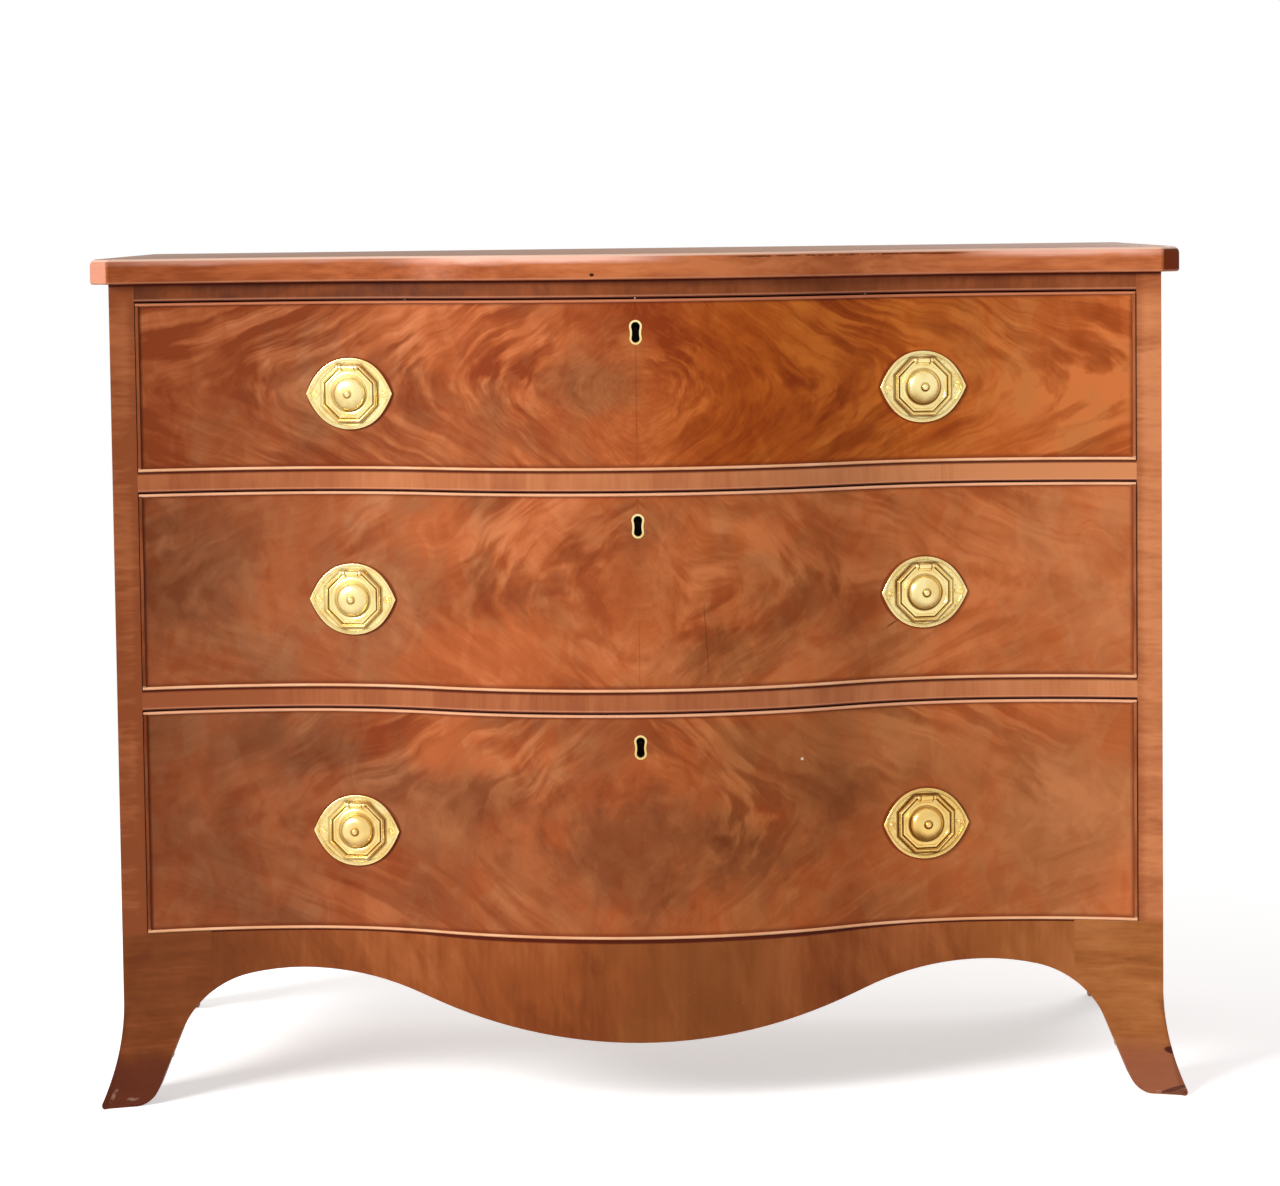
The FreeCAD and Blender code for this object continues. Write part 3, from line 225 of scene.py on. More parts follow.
woods = {
    "specular": 0.06,  # old french polish, thin
    "coat": 0.05,
    "coatRough": 0.16,
    "roughness": 0.36,
    "uneven": 0.14,  # how far the roughness wanders
    "grainBump": 0.35,
    "grainDepth": 0.00004,
    "gap": (0.066, 0.003, 0.0003),  # painted shade in the joints and gaps, with dirt and bare edges
    "arrisHighlight": (0.75, 0.34, 0.20),  # painted highlight on an arris, with wear
}


def polish(finish, cloud, height=None, shine=1.0):
    extra = {}
    if height is not None:
        extra["Normal"] = finish.bump(height, woods["grainBump"], woods["grainDepth"])
    return finish.done(
        Base_Color=finish.colour, Roughness=woods["roughness"] + (cloud - 0.5) * woods["uneven"],
        Coat_Weight=woods["coat"] * shine * (cloud + 0.5), Coat_Roughness=woods["coatRough"],
        Specular_IOR_Level=woods["specular"] * shine, **extra)


def spot(x, z, mark):  # 1 inside a small slanted oval
    px, pz, halfWide, halfHigh, lean = mark
    dz = z - pz
    dx = (x - px + dz * lean) / halfWide
    dz = dz / halfHigh
    return (dx * dx + dz * dz).math("SQRT").rise(1.1, 0.7)


def tones(*colours):  # stops of a ramp, from dark to light
    places = (0.3, 0.7) if len(colours) == 2 else (0.25, 0.5, 0.75)
    return list(zip(places, colours))


figures = {  # one flame leaf each side of the middle seam, per drawer
    "upper": {
        "eyeZ": 0.740, "seed": 2.3, "streak": 96, "contrast": 1.40, "light": 0.0, "olive": -0.12,
        "hair": 0.44, "ends": 0.0, "amber": 1.0, "soft": 0.14,
        "patches": [  # x, z, half width, half height, lighter or darker, more olive or redder
            (-0.035, 0.740, 0.060, 0.032, 0.02, 0.30), (0.0, 0.810, 0.070, 0.030, -0.22, -0.15),
            (-0.495, 0.740, 0.035, 0.110, -0.12, -0.10), (0.005, 0.685, 0.060, 0.042, 0.06, -0.25),
            (0.130, 0.745, 0.130, 0.060, -0.10, -0.22), (0.430, 0.720, 0.090, 0.040, 0.18, -0.05),
            (-0.190, 0.805, 0.120, 0.035, 0.14, -0.16),
            (-0.330, 0.700, 0.080, 0.030, 0.08, 0.05)],
        "marks": [],
    },
    "middle": {
        "eyeZ": 0.529, "seed": 11.7, "streak": 66, "contrast": 0.95, "light": 0.13, "olive": -0.02,
        "hair": 0.20, "ends": 0.5, "amber": 0.25, "soft": 0.145,
        "patches": [
            (-0.455, 0.565, 0.065, 0.085, -0.16, 0.20), (-0.035, 0.598, 0.070, 0.040, -0.18, 0.15),
            (-0.500, 0.520, 0.030, 0.095, -0.16, 0.05),
            (-0.110, 0.525, 0.090, 0.024, -0.13, 0.0), (0.085, 0.460, 0.055, 0.038, -0.16, 0.25),
            (0.150, 0.510, 0.100, 0.045, -0.12, 0.05), (0.125, 0.587, 0.030, 0.022, 0.20, -0.20),
            (-0.155, 0.463, 0.100, 0.036, 0.12, -0.15), (-0.200, 0.595, 0.070, 0.028, 0.12, -0.15)],
        "marks": [  # x, z, half width, half height, lean, then colour and strength
            ((0.068, 0.484, 0.0008, 0.042, 0.05), (0.110, 0.030, 0.012), 0.55),
            ((0.262, 0.490, 0.0016, 0.0040, -1.6), (0.090, 0.020, 0.008), 0.75)],
    },
    "lower": {
        "eyeZ": 0.292, "seed": 23.1, "streak": 80, "contrast": 0.86, "light": 0.03, "olive": 0.0,
        "hair": 0.16, "ends": 0.6, "amber": 0.3, "soft": 0.115,
        "patches": [
            (0.0, 0.267, 0.105, 0.060, -0.20, 0.28), (-0.370, 0.365, 0.080, 0.026, -0.05, 0.15),
            (-0.170, 0.317, 0.070, 0.026, -0.10, 0.12), (0.190, 0.327, 0.065, 0.034, -0.12, 0.10),
            (-0.450, 0.240, 0.085, 0.065, -0.08, 0.0), (-0.165, 0.371, 0.090, 0.032, 0.12, -0.18),
            (0.440, 0.285, 0.090, 0.080, 0.05, 0.12), (0.115, 0.272, 0.050, 0.030, -0.12, 0.10)],
        "marks": [((0.165, 0.356, 0.0015, 0.0017, 0.0), (0.90, 0.72, 0.55), 0.9)],
    },
}
flameShape = {
    "reach": 0.9, "spread": 9.2, "along": 2.1, "widen": 6.0,
    "lean": 0.40,  # painted light: the right end of each front is lighter
    "side": 0.511, "bead": 0.004, "dirtAndShade": (0.150, 0.022, 0.004),
    "cool": (0.93, 1.08, 1.32), "amber": (0.97, 0.83, 0.32),  # left and right of the middle
    "halo": 0.0024, "margin": 0.0045, "seam": 0.0009,  # widths of old dirt, with painted shade by the plates and beads
    "bandScale": 26, "hairScale": 420, "poreScale": 1500, "pore": (0.120, 0.026, 0.008),
    "coreGrain": (6, 120, 120),
    "core": tones((0.26, 0.10, 0.040), (0.38, 0.17, 0.075)),
}
flameRed = [
    (0.05, (0.250, 0.041, 0.008)), (0.35, (0.340, 0.070, 0.016)), (0.62, (0.448, 0.108, 0.029)),
    (0.95, (0.605, 0.178, 0.062)),
]
flameOlive = [
    (0.05, (0.180, 0.043, 0.011)), (0.35, (0.262, 0.076, 0.024)), (0.62, (0.355, 0.116, 0.039)),
    (0.95, (0.505, 0.184, 0.071)),
]


def seatOf(ring):  # a handle's middle on its drawer, from the hinge: right, up and out
    hinge = hinges[ring]
    right = -Vector(hinge["axis"])
    up = Vector((0, 0, 1))
    out = right.cross(up)
    seat = Matrix((right, up, out)).transposed().to_4x4()
    fromSeat = up * ringSizes["hingeUp"] + out * ringSizes["hingeOut"]
    seat.translation = Vector(hinge["pos_m"]) - fromSeat * mm
    return seat


def plateHalo(x, z, level):  # old polish and painted shadow round the edge of each backplate
    seat = seatOf(f"{level}_right_ring")
    dx = (abs(x) - seat.translation.x) / seat[0][0]
    dz = abs(z - seat.translation.z)
    outside = (dx * dx + (dz + plateSink * mm) ** 2).math("SQRT") - plateArc * mm
    return outside.rise(flameShape["halo"], 0.0)


def soilAndShadeVeneer(finish, level, x, z, wander, blotch):  # dirt and painted shade by beads and plates, dirt in the seam, then small marks
    s = flameShape
    low, high = openings[level]
    bead = s["bead"]
    margin = (z - (low + bead)).math("MINIMUM", (high - bead) - z)
    margin = margin.math("MINIMUM", s["side"] - abs(x))
    finish.paint(margin.rise(s["margin"], 0.0002) * 0.62, s["dirtAndShade"])
    finish.paint(plateHalo(x, z, level) * 0.8, s["dirtAndShade"])
    seam = abs(x).rise(s["seam"], 0.0003) * blotch.rise(0.35, 0.6) * 0.3
    finish.paint(seam, s["dirtAndShade"])
    for mark, paint, strength in figures[level]["marks"]:
        finish.paint(spot(wander, z, mark) * strength, paint)


def flameVeneer(level):
    figure = figures[level]
    s = flameShape
    seed = figure["seed"]
    finish = Finish(f"flame_veneer_{level}")
    place = finish.place()
    x, y, z = finish.split(place)
    leaf = finish.join(abs(x), x * 0.9 + seed, z)  # the two halves nearly mirror
    warp = finish.noise(leaf, 7, 2, 0.5) - 0.5
    ripple = finish.noise(leaf, 34, 2, 0.5) - 0.5
    across = abs(x) + warp * 0.035
    up = z - figure["eyeZ"] + ripple * 0.007 + warp * 0.018
    tall = up * (across * s["spread"] + s["reach"])
    ring = (across * across + tall * tall).math("SQRT") + warp * 0.05
    wide = (ring * s["widen"] + 1).math("LOGARITHM", math.e) / s["widen"]
    along = tall.math("ARCTAN2", across + 0.02) * s["along"]
    band = finish.noise(finish.join(wide * s["bandScale"], along * 0.6, x * 2.5 + seed), 1, 2, 0.5, 0.4)
    plume = finish.noise(finish.join(wide * figure["streak"], along, x * 4 + seed + 5), 1, 2.8, 0.55, 0.4)
    hair = finish.noise(finish.join(wide * s["hairScale"], along * 3.5, seed + 9), 1, 2, 0.55)
    calm = finish.noise(leaf, 9, 2, 0.5).rise(0.36, 0.60)  # some parts are nearly plain
    plain = (1 - abs(x).rise(0.28, 0.46) * figure["ends"]) * (ring.rise(0.01, 0.075) * 0.75 + 0.25)
    plain = plain * (up.rise(-0.05, 0.03) * 0.35 + 0.70)  # livelier above the eye
    mottle = finish.noise(leaf, 30, 3, 0.55, 0.6)
    blotch = finish.noise(leaf, 8.5, 3, 0.55, 0.7)
    stroke = plume.rise(0.5 - figure["soft"], 0.5 + figure["soft"]) - 0.5
    stroke = stroke * (calm * 0.40 + 0.10) * plain
    tone = stroke * figure["contrast"] + (band - 0.5) * 0.6 * plain + (hair - 0.5) * figure["hair"]
    tone = tone + (mottle - 0.5) * 0.26 + (blotch - 0.5) * 0.45 + x * s["lean"]
    fleck = finish.noise(leaf, 19, 4, 0.6, 1.0).rise(0.45, 0.56) - 0.5  # patches with an edge
    tone = tone + fleck * 0.10 + (0.5 + figure["light"])
    hue = finish.noise(leaf, 6.3, 3, 0.6, 0.5) + (mottle - 0.5) * 0.30 + figure["olive"]
    hue = hue + fleck * 0.08
    for px, pz, halfWide, halfHigh, lighter, olive in figure["patches"]:
        dx, dz = (x - px) / halfWide, (z - pz) / halfHigh
        edge = (dx * dx + dz * dz).math("SQRT") + (mottle - 0.5) * 1.3 + (blotch - 0.5) * 1.0
        patch = edge.rise(1.35, 0.35)
        tone = tone + patch * lighter
        hue = hue + patch * olive
    red = finish.ramp(tone, flameRed)
    finish.colour = finish.mix(hue.rise(0.26, 0.74), red, finish.ramp(tone, flameOlive))
    finish.paint(x.rise(-0.12, -0.36) * 0.9, s["cool"], "MULTIPLY")
    amber = x.rise(-0.06, 0.12) * (1 - x.rise(0.24, 0.46) * 0.5) * figure["amber"]
    finish.paint(amber, s["amber"], "MULTIPLY")
    pores = finish.noise(finish.join(wide * s["poreScale"], along * 12, seed), 1, 1)
    finish.paint(pores.rise(0.64, 0.80) * 0.14, s["pore"])
    soilAndShadeVeneer(finish, level, x, z, x + ripple * 0.004, blotch)
    core = finish.facing()[1].rise(-0.55, -0.35)  # edges and back of the front are bare wood
    grain = finish.grain(place, s["coreGrain"], 4, 0.6)
    finish.paint(core, finish.ramp(grain, s["core"]))
    return polish(finish, blotch, hair)


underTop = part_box("top_rail")[1][2]
straightWoods = {  # grain scale along x, y, z, how strong it is, and the tones from dark to light
    "crossband": {"grain": (55, 55, 6), "strength": 0.42, "patch": 6, "lean": 0.58,
                  "lines": (openings["lower"][1], openings["middle"][1]),  # above a drawer
                  "shades": (openings["middle"][0], openings["upper"][0]),  # below a drawer
                  "deeper": 0.0, "fade": 0.0036, "middle": 0.52, "steps": 0.13,
                  "tones": tones((0.330, 0.092, 0.032), (0.475, 0.154, 0.058), (0.620, 0.236, 0.094))},
    # the rail's tones are darker than the blades': painted shadow of the top's overhang
    "rail": {"grain": (60, 60, 9), "strength": 0.30, "patch": 7, "lean": 0.06,
             "lines": (openings["upper"][1],), "shades": (underTop,), "deeper": 0.0, "fade": 0.0036,
             "tones": tones((0.115, 0.031, 0.014), (0.228, 0.058, 0.017), (0.345, 0.100, 0.034))},
    "stile": {"grain": (12, 12, 60), "strength": 0.8, "patch": 7, "lean": 0.33, "lines": None,
              "shades": (underTop,), "deeper": 0.0, "fade": 0.0036,
              "tones": tones((0.280, 0.072, 0.022), (0.430, 0.132, 0.046), (0.600, 0.218, 0.086))},
    "apron": {"grain": (50, 50, 6), "strength": 0.42, "patch": 6, "lean": 0.10, "lines": None,
              "shades": (openings["lower"][0],), "deeper": 1.5, "fade": 0.0020,
              "middle": 0.14, "steps": 0.05, "brown": (0.205, 0.066, 0.015), "speck": (0.560, 0.260, 0.120),
              "tones": tones((0.185, 0.040, 0.008), (0.285, 0.072, 0.016), (0.410, 0.120, 0.034))},
    "side": {"grain": (70, 70, 5), "strength": 0.7, "patch": 4, "lean": 0.0, "lines": None, "shades": None,
             "tones": tones((0.20, 0.048, 0.012), (0.33, 0.088, 0.024), (0.45, 0.140, 0.045))},
}


def grainOf(finish, place, scale, strength, cloud):
    bent = finish.add("ShaderNodeVectorMath", {"operation": "SCALE"}, {
        0: finish.add("ShaderNodeTexNoise", {}, {"Vector": place, "Scale": 9, "Detail": 2}, 1),
        "Scale": 0.010})
    along = finish.add("ShaderNodeVectorMath", {"operation": "ADD"}, {0: place, 1: bent})
    grain = finish.grain(along, scale, 5, 0.62, 0.3)
    fine = finish.grain(along, tuple(4 * s for s in scale), 3, 0.6)
    tone = 0.5 + (grain - 0.5) * 0.9 * strength + (fine - 0.5) * 0.42 * strength
    return tone + (cloud - 0.5) * 0.55, fine


def nearest(value, marks):  # distance to the nearest of some marks
    near = abs(value - marks[0])
    for mark in marks[1:]:
        near = near.math("MINIMUM", abs(value - mark))
    return near


def straightWood(name):
    look = straightWoods[name]
    finish = Finish(f"mahogany_{name}")
    place = finish.place()
    x, y, z = finish.split(place)
    nx, ny, nz = finish.facing()
    patch = finish.noise(place, look["patch"], 3, 0.55, 0.4)
    tone, fine = grainOf(finish, place, look["grain"], look["strength"], patch)
    # painted light: the right end is lighter
    tone = tone + x * look["lean"]
    if name in ("crossband", "apron"):  # laid in short lengths
        ends = x * 21 + (patch - 0.5) * 0.3
        lengths = finish.cells(finish.join(ends, 0, z.rise(0.50, 0.55) * 9), 1, "Color")
        tone = tone + (finish.split(lengths)[0] - 0.5) * look["steps"] + (z - look["middle"]) * 0.8
    if name == "apron":  # soft slanting figure
        slant = finish.noise(finish.join(x * 24 + z * 8, 0, z * 10), 1, 4, 0.62, 0.8)
        tone = tone + (slant - 0.5) * 0.70
    if name == "rail":  # greyer and darker at the left
        tone = tone - x.rise(0.05, -0.35) * patch.rise(0.40, 0.60) * 0.22 + x.rise(0.42, 0.52) * 0.08
        tone = tone + (finish.noise(place, 24, 3, 0.6, 0.8) - 0.5) * 0.55
    if name == "stile":  # darker next to the drawers and low on the right
        tone = tone - abs(x).rise(0.526, 0.516) * 0.14 - x.rise(0.3, 0.5) * z.rise(0.60, 0.25) * 0.10
        # painted shade: darker near the top, under the top board
        tone = tone - z.rise(0.80, 0.84) * 0.16
    finish.colour = finish.ramp(tone, look["tones"])
    if name == "apron":  # a browner middle, and ends in the colour of the feet, with their painted light and shade
        brown = x.rise(-0.10, -0.02) * x.rise(0.18, 0.08) * patch.rise(0.30, 0.55)
        finish.paint(brown * 0.5, look["brown"])
        specks = finish.noise(place, 330, 2, 0.5).rise(0.70, 0.76) * patch.rise(0.45, 0.60)
        finish.paint(specks * 0.35, look["speck"])
        finish.paint(x.rise(0.24, 0.46) * 0.75, finish.ramp(tone, footLook["right"]))
        finish.paint(x.rise(-0.24, -0.45), finish.ramp(tone, footLook["left"]))
    if look["lines"]:  # painted highlight on the lower arris, with wear, and painted shade in the gap below it
        near = nearest(z, look["lines"])
        finish.paint(near.rise(0.0036, 0.0018) * 0.35, woods["arrisHighlight"])
        finish.paint(near.rise(0.0015, 0.0009) * 0.9, woods["gap"])
    if look["shades"]:  # painted shadow and dirt under the bead or the top above
        reach = 1 + abs(x).rise(0.30, 0.14) * look["deeper"]
        near = nearest(z, look["shades"]) / reach
        finish.paint(near.rise(look["fade"], 0.0012) * 0.9, woods["gap"])
    # painted shade and dirt on the faces inside the joints
    if name != "side":
        joint = ny.rise(-0.5, -0.2) * ny.rise(0.5, 0.2) * abs(nx).rise(0.995, 0.98)
        if name == "stile":
            joint = (nx * x).rise(-0.2, -0.4)
        finish.paint(joint * 0.9, woods["gap"])
    return polish(finish, patch, fine)


footLook = {
    "grain": (10, 10, 75), "patch": 16,
    # painted light and shade: the left feet are a darker copy, the right feet a lighter one, toes too
    "left": tones((0.158, 0.037, 0.010), (0.210, 0.055, 0.014), (0.285, 0.080, 0.024)),
    "right": tones((0.255, 0.072, 0.016), (0.360, 0.118, 0.030), (0.470, 0.172, 0.055)),
    "leftToe": (0.118, 0.026, 0.013), "rightToe": (0.290, 0.088, 0.042),
    "dark": (0.060, 0.010, 0.004), "pale": (0.55, 0.34, 0.24),
    "notch": (0.5475, 0.0435, 0.0085, 0.0040, 0.4),
    "crack": (0.548, 0.0058, 0.0058, 0.0056, -2.6),
    "loose": (0.553, 0.0030, 0.0130, 0.0030, -2.0), "looseTone": (0.135, 0.036, 0.014),
    "arris": 0.5535, "arrisTop": 0.11,  # dark outer edge: at the floor, and how high it goes
    "scuffs": [(-0.531, 0.0075, 0.0070, 0.0018, 0.0), (-0.5495, 0.0130, 0.0024, 0.0080, -0.46)],
}


def footWood(look):
    finish = Finish("mahogany_foot")
    place = finish.place()
    x, y, z = finish.split(place)
    patch = finish.noise(place, look["patch"], 3, 0.6, 0.5)
    tone, fine = grainOf(finish, place, look["grain"], 0.75, patch)
    right = x.rise(-0.2, 0.2)
    finish.colour = finish.mix(right, finish.ramp(tone, look["left"]), finish.ramp(tone, look["right"]))
    toe = (z + (patch - 0.5) * 0.05).rise(0.062, 0.030)
    finish.paint(toe * 0.8, finish.mix(right, look["leftToe"], look["rightToe"]))
    front = finish.facing()[1].rise(-0.5, -0.8) * y.rise(-0.15, -0.19)  # marks stay on the front
    wander = x + (patch - 0.5) * 0.01
    finish.paint(spot(x, z, look["notch"]) * front, look["dark"])
    finish.paint(spot(wander, z, look["loose"]) * front * 0.75, look["looseTone"])
    finish.paint(spot(wander, z, look["crack"]) * front * 0.8, look["dark"])
    ragged = finish.noise(place, 190, 2, 0.6).rise(0.34, 0.62) * front
    for scuff in look["scuffs"]:
        finish.paint(spot(x + (patch - 0.5) * 0.006, z, scuff) * ragged * 0.42, look["pale"])
    outer = (abs(x) - look["arris"] + z * 0.2).rise(-0.002, 0.004) * z.rise(look["arrisTop"], 0.08)
    finish.paint(outer * front * 0.35, look["dark"])
    return polish(finish, patch, fine)


topLook = {
    "grain": (6, 70, 70), "patch": 4,
    "tones": tones((0.290, 0.066, 0.018), (0.440, 0.118, 0.038), (0.580, 0.180, 0.064)),
    # painted highlights on the upper and lower arris, and painted sheen on the upper face
    "upperArrisHighlight": (0.90, 0.60, 0.46), "under": (0.70, 0.34, 0.20), "sheenGrey": (0.248, 0.142, 0.064),
    "edgeReflection": (0.94, 0.50, 0.375), "head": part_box("top_board")[1][2], "streak": (16, 60, 90),
    "edgeReflections": [  # painted reflection below the arris: middle along x, half length, depth below the head, strength
        (-0.10, 0.19, 0.0115, 0.95), (0.45, 0.13, 0.0110, 0.75), (-0.40, 0.18, 0.0090, 0.42)],
    "arrisDarkLine": (0.22, 0.13, 0.0042),  # a thin broken dark line: middle along x, half length, below the head
    # painted light on the left cant and painted shade on the right one
    "leftCantLit": (0.80, 0.36, 0.24), "rightCantShaded": (0.250, 0.035, 0.002),
    "hole": (-0.0435, 0.8550, 0.0026, 0.0019, 0.0), "dark": (0.040, 0.008, 0.003),
    "specular": 0.06, "roughness": 0.40,
}


def topWood(look):
    finish = Finish("mahogany_top")
    place = finish.place()
    x, y, z = finish.split(place)
    nx, ny, nz = finish.facing()
    patch = finish.noise(place, look["patch"], 3, 0.55, 0.4)
    tone, fine = grainOf(finish, place, look["grain"], 0.5, patch)
    streaks = finish.grain(place, look["streak"], 3, 0.6)
    # painted shade: the left part darker
    tone = tone - x.rise(0.02, -0.30) * 0.24 + 0.08 + (streaks - 0.5) * 0.85
    finish.colour = finish.ramp(tone, look["tones"])
    sheenGrey = finish.mix(0.5, finish.colour, look["sheenGrey"], "SOFT_LIGHT")  # painted sheen: the upper face greyer and less red
    finish.paint(nz.rise(0.90, 0.99) * 0.9, finish.mix(0.75, sheenGrey, look["sheenGrey"]))
    depth = look["head"] - z
    for middle, half, reach, strength in look["edgeReflections"]:  # painted reflection, pale below the arris
        along = (abs(x - middle) + (patch - 0.5) * 0.12).rise(half, half * 0.35)
        edgeReflection = (depth + (streaks - 0.5) * 0.010).rise(reach, reach * 0.35) * nz.rise(0.95, 0.80)
        finish.paint(edgeReflection * along * ny.rise(-0.2, -0.45) * strength, look["edgeReflection"])
    # a thin broken dark line below the arris
    middle, half, reach = look["arrisDarkLine"]
    darkLine = abs(depth + (streaks - 0.5) * 0.004 - reach).rise(0.0013, 0.0005) * fine.rise(0.40, 0.52)
    finish.paint(darkLine * abs(x - middle).rise(half, half * 0.8) * 0.75, look["dark"])
    # painted light on the left cant, painted shade on the right one
    cant = abs(nx).rise(0.35, 0.6) * ny.rise(-0.2, -0.5)
    finish.paint(cant * nx.rise(0.2, -0.2) * 0.7, look["leftCantLit"])
    finish.paint(cant * nx.rise(-0.2, 0.2), look["rightCantShaded"])
    # painted highlight on the upper arris
    arrisHighlight = nz.rise(0.52, 0.74) * nz.rise(0.985, 0.94) * (patch.rise(0.25, 0.5) * 0.4 + 0.5)
    finish.paint(arrisHighlight * (ny.rise(0.0, -0.4) * 0.6 + 0.4), look["upperArrisHighlight"])
    # painted highlight on the lower arris
    below = nz.rise(-0.15, -0.35) * nz.rise(-0.85, -0.6) * 0.45
    finish.paint(below, look["under"])
    finish.paint(spot(x, z, look["hole"]) * ny.rise(-0.5, -0.8), look["dark"])
    finish.done(Base_Color=finish.colour, Roughness=look["roughness"] + (patch - 0.5) * woods["uneven"],
                Specular_IOR_Level=look["specular"],
                Normal=finish.bump(fine, woods["grainBump"], woods["grainDepth"]))
    return finish.material


beadLook = {
    # painted highlights: the foot and head beads are pale; the upper drawer's head is dimmer, painted shadow
    # of the top; the upright beads stay darker
    "foot": tones((0.84, 0.40, 0.19), (0.98, 0.57, 0.34)),
    "head": {"upper": (0.56, 0.185, 0.090), "middle": (0.95, 0.50, 0.29), "lower": (0.92, 0.47, 0.27)},
    "upright": tones((0.20, 0.045, 0.014), (0.40, 0.125, 0.050)),
    "grain": (0.62, 0.27, 0.13), "turn": 0.5100, "along": (14, 60, 60), "upwards": (60, 60, 16),
}


def beadWood(level, look):
    low, high = openings[level]
    finish = Finish(f"bead_{level}")
    place = finish.place()
    x, y, z = finish.split(place)
    nx, ny, nz = finish.facing()
    grain = finish.grain(place, look["along"], 4, 0.6)
    tall = finish.grain(place, look["upwards"], 4, 0.6)
    # painted highlight on the foot and head beads; the upright beads darker
    foot = z.rise(low + 0.010, low + 0.006)
    finish.colour = finish.mix(grain.rise(0.3, 0.7) * 0.35, look["head"][level], look["grain"])
    finish.paint(foot, finish.ramp(grain, look["foot"]))
    upright = abs(x).rise(look["turn"], look["turn"] + 0.001)
    upright = upright * z.rise(low + 0.003, low + 0.005) * z.rise(high - 0.003, high - 0.005)
    finish.paint(upright, finish.ramp(tall + x * 0.2, look["upright"]))
    # painted shade in the gap above the bead and on its hidden faces
    joint = ny.rise(-0.46, -0.20).math("MAXIMUM", z.rise(high - 0.0016, high - 0.0009))
    finish.paint(joint * 0.92, woods["gap"])
    return polish(finish, grain, shine=0.0)


oakTones = tones((0.27, 0.135, 0.055), (0.50, 0.29, 0.130))
bareWoods = {
    "oak": {"grain": (90, 4, 90), "tones": oakTones},
    "oakBoard": {"grain": (4, 90, 90), "tones": oakTones},
    "pine": {"grain": (4, 60, 60), "tones": tones((0.27, 0.125, 0.048), (0.47, 0.250, 0.105))},
    "pineUpright": {"grain": (60, 60, 4), "tones": tones((0.235, 0.105, 0.040), (0.42, 0.215, 0.090))},
}
bareStain = (0.13, 0.07, 0.035)


def bareWood(name):
    look = bareWoods[name]
    finish = Finish(f"bare_{name}")
    place = finish.place()
    patch = finish.noise(place, 3, 4, 0.6, 0.5)
    grain = finish.grain(place, look["grain"], 5, 0.65, 0.6)
    tone = grain + (patch - 0.5) * 0.5
    finish.colour = finish.ramp(tone, look["tones"])
    stain = finish.noise(place, 11, 4, 0.6).rise(0.55, 0.75)
    finish.paint(stain * 0.35, bareStain)
    return finish.done(Base_Color=finish.colour, Roughness=0.62 + grain * 0.2, Specular_IOR_Level=0.2,
                       Normal=finish.bump(grain, 0.3, 0.0002))


brassLook = {
    "bright": (0.990, 0.830, 0.395), "deep": (0.840, 0.560, 0.175), "tarnishAndShade": (0.215, 0.092, 0.010),
    "roughness": 0.24, "metallic": 0.9,
}
# where the handles darken: tarnish in their hollows and painted shade
plateShadeAndWear = {  # millimetres from the middle or in from the edge, with a pair for each soft edge
    "domeFoot": 17.9, "knobFoot": 4.3, "collarEdge": 25.5, "rimFoot": 3.4, "barrelEnd": 6.9,
    "domeEdge": (17.4, 16.6), "domeTop": (7.0, 15.5), "ringIn": (29.2, 30.0), "ringOut": (32.4, 31.0),
    "fieldFrom": (31.6, 32.4), "fieldTo": (3.3, 4.0), "barrelLow": (22.5, 23.5), "barrelHigh": (31.5, 30.5),
}
ringShadeAndWear = {"edges": (29.7, 25.9), "barrelEnd": (7.6, 7.0), "barrelLow": (20.0, 22.0)}
planWide = 100  # millimetres that a handle's flat map spans


def planOf(finish):  # place on a handle in millimetres, right and up, from its middle
    u, v, w = finish.split(finish.add("ShaderNodeUVMap", {"uv_map": "plan"}))
    return (u - 0.5) * planWide, (v - 0.5) * planWide


def octagonReach(ax, ay):  # distance from the middle, measured in eight-sided steps
    return ax.math("MAXIMUM", ay).math("MAXIMUM", (ax + ay) * 0.7071)


def plateShadeAndDirt(finish, place):
    s, h = plateShadeAndWear, handleSizes
    px, py = planOf(finish)
    ax, ay = abs(px), abs(py)
    r = (px * px + py * py).math("SQRT")
    flat = octagonReach(ax, ay)
    low = (1 - py / (r + 0.01)) * 0.5  # painted shade: 0 above the middle, 1 below it
    full = ay / (1 - (ax / h["drawAt"]) ** h["drawPower"] * h["draw"])
    inside = plateArc - (px * px + (full + plateSink) ** 2).math("SQRT")
    speck = finish.noise(place, 700, 2, 0.6)
    field = flat.rise(*s["fieldFrom"]) * inside.rise(*s["fieldTo"])
    barrel = py.rise(*s["barrelLow"]) * py.rise(*s["barrelHigh"])
    lines = [
        abs(r - s["domeFoot"]).rise(1.4, 0.4) * (low * 0.65 + 0.35),  # groove round the dome, painted darker below
        # painted shade on the lower part of the dome
        r.rise(*s["domeEdge"]) * r.rise(*s["domeTop"]) * low.rise(0.40, 1.0) * 0.55,
        # round the knob's foot, painted darker below
        abs(r - s["knobFoot"]).rise(1.2, 0.3) * (low * 0.65 + 0.25),
        abs(flat - s["collarEdge"]).rise(0.9, 0.3) * 0.75,  # between ring and collar: tarnish and painted shade
        flat.rise(*s["ringIn"]) * flat.rise(*s["ringOut"]) * 0.60,  # round the ring: tarnish and painted shadow
        abs(inside - s["rimFoot"]).rise(0.8, 0.2) * 0.40,
        # painted shade at the barrel's ends
        abs(ax - s["barrelEnd"]).rise(0.8, 0.3) * barrel * 0.8,
        field * speck.rise(0.56, 0.70) * 0.55]
    dirtAndShade = lines[0]
    for line in lines[1:]:
        dirtAndShade = dirtAndShade.math("MAXIMUM", line)
    stipple = finish.cells(place, 900) * field
    return dirtAndShade, stipple


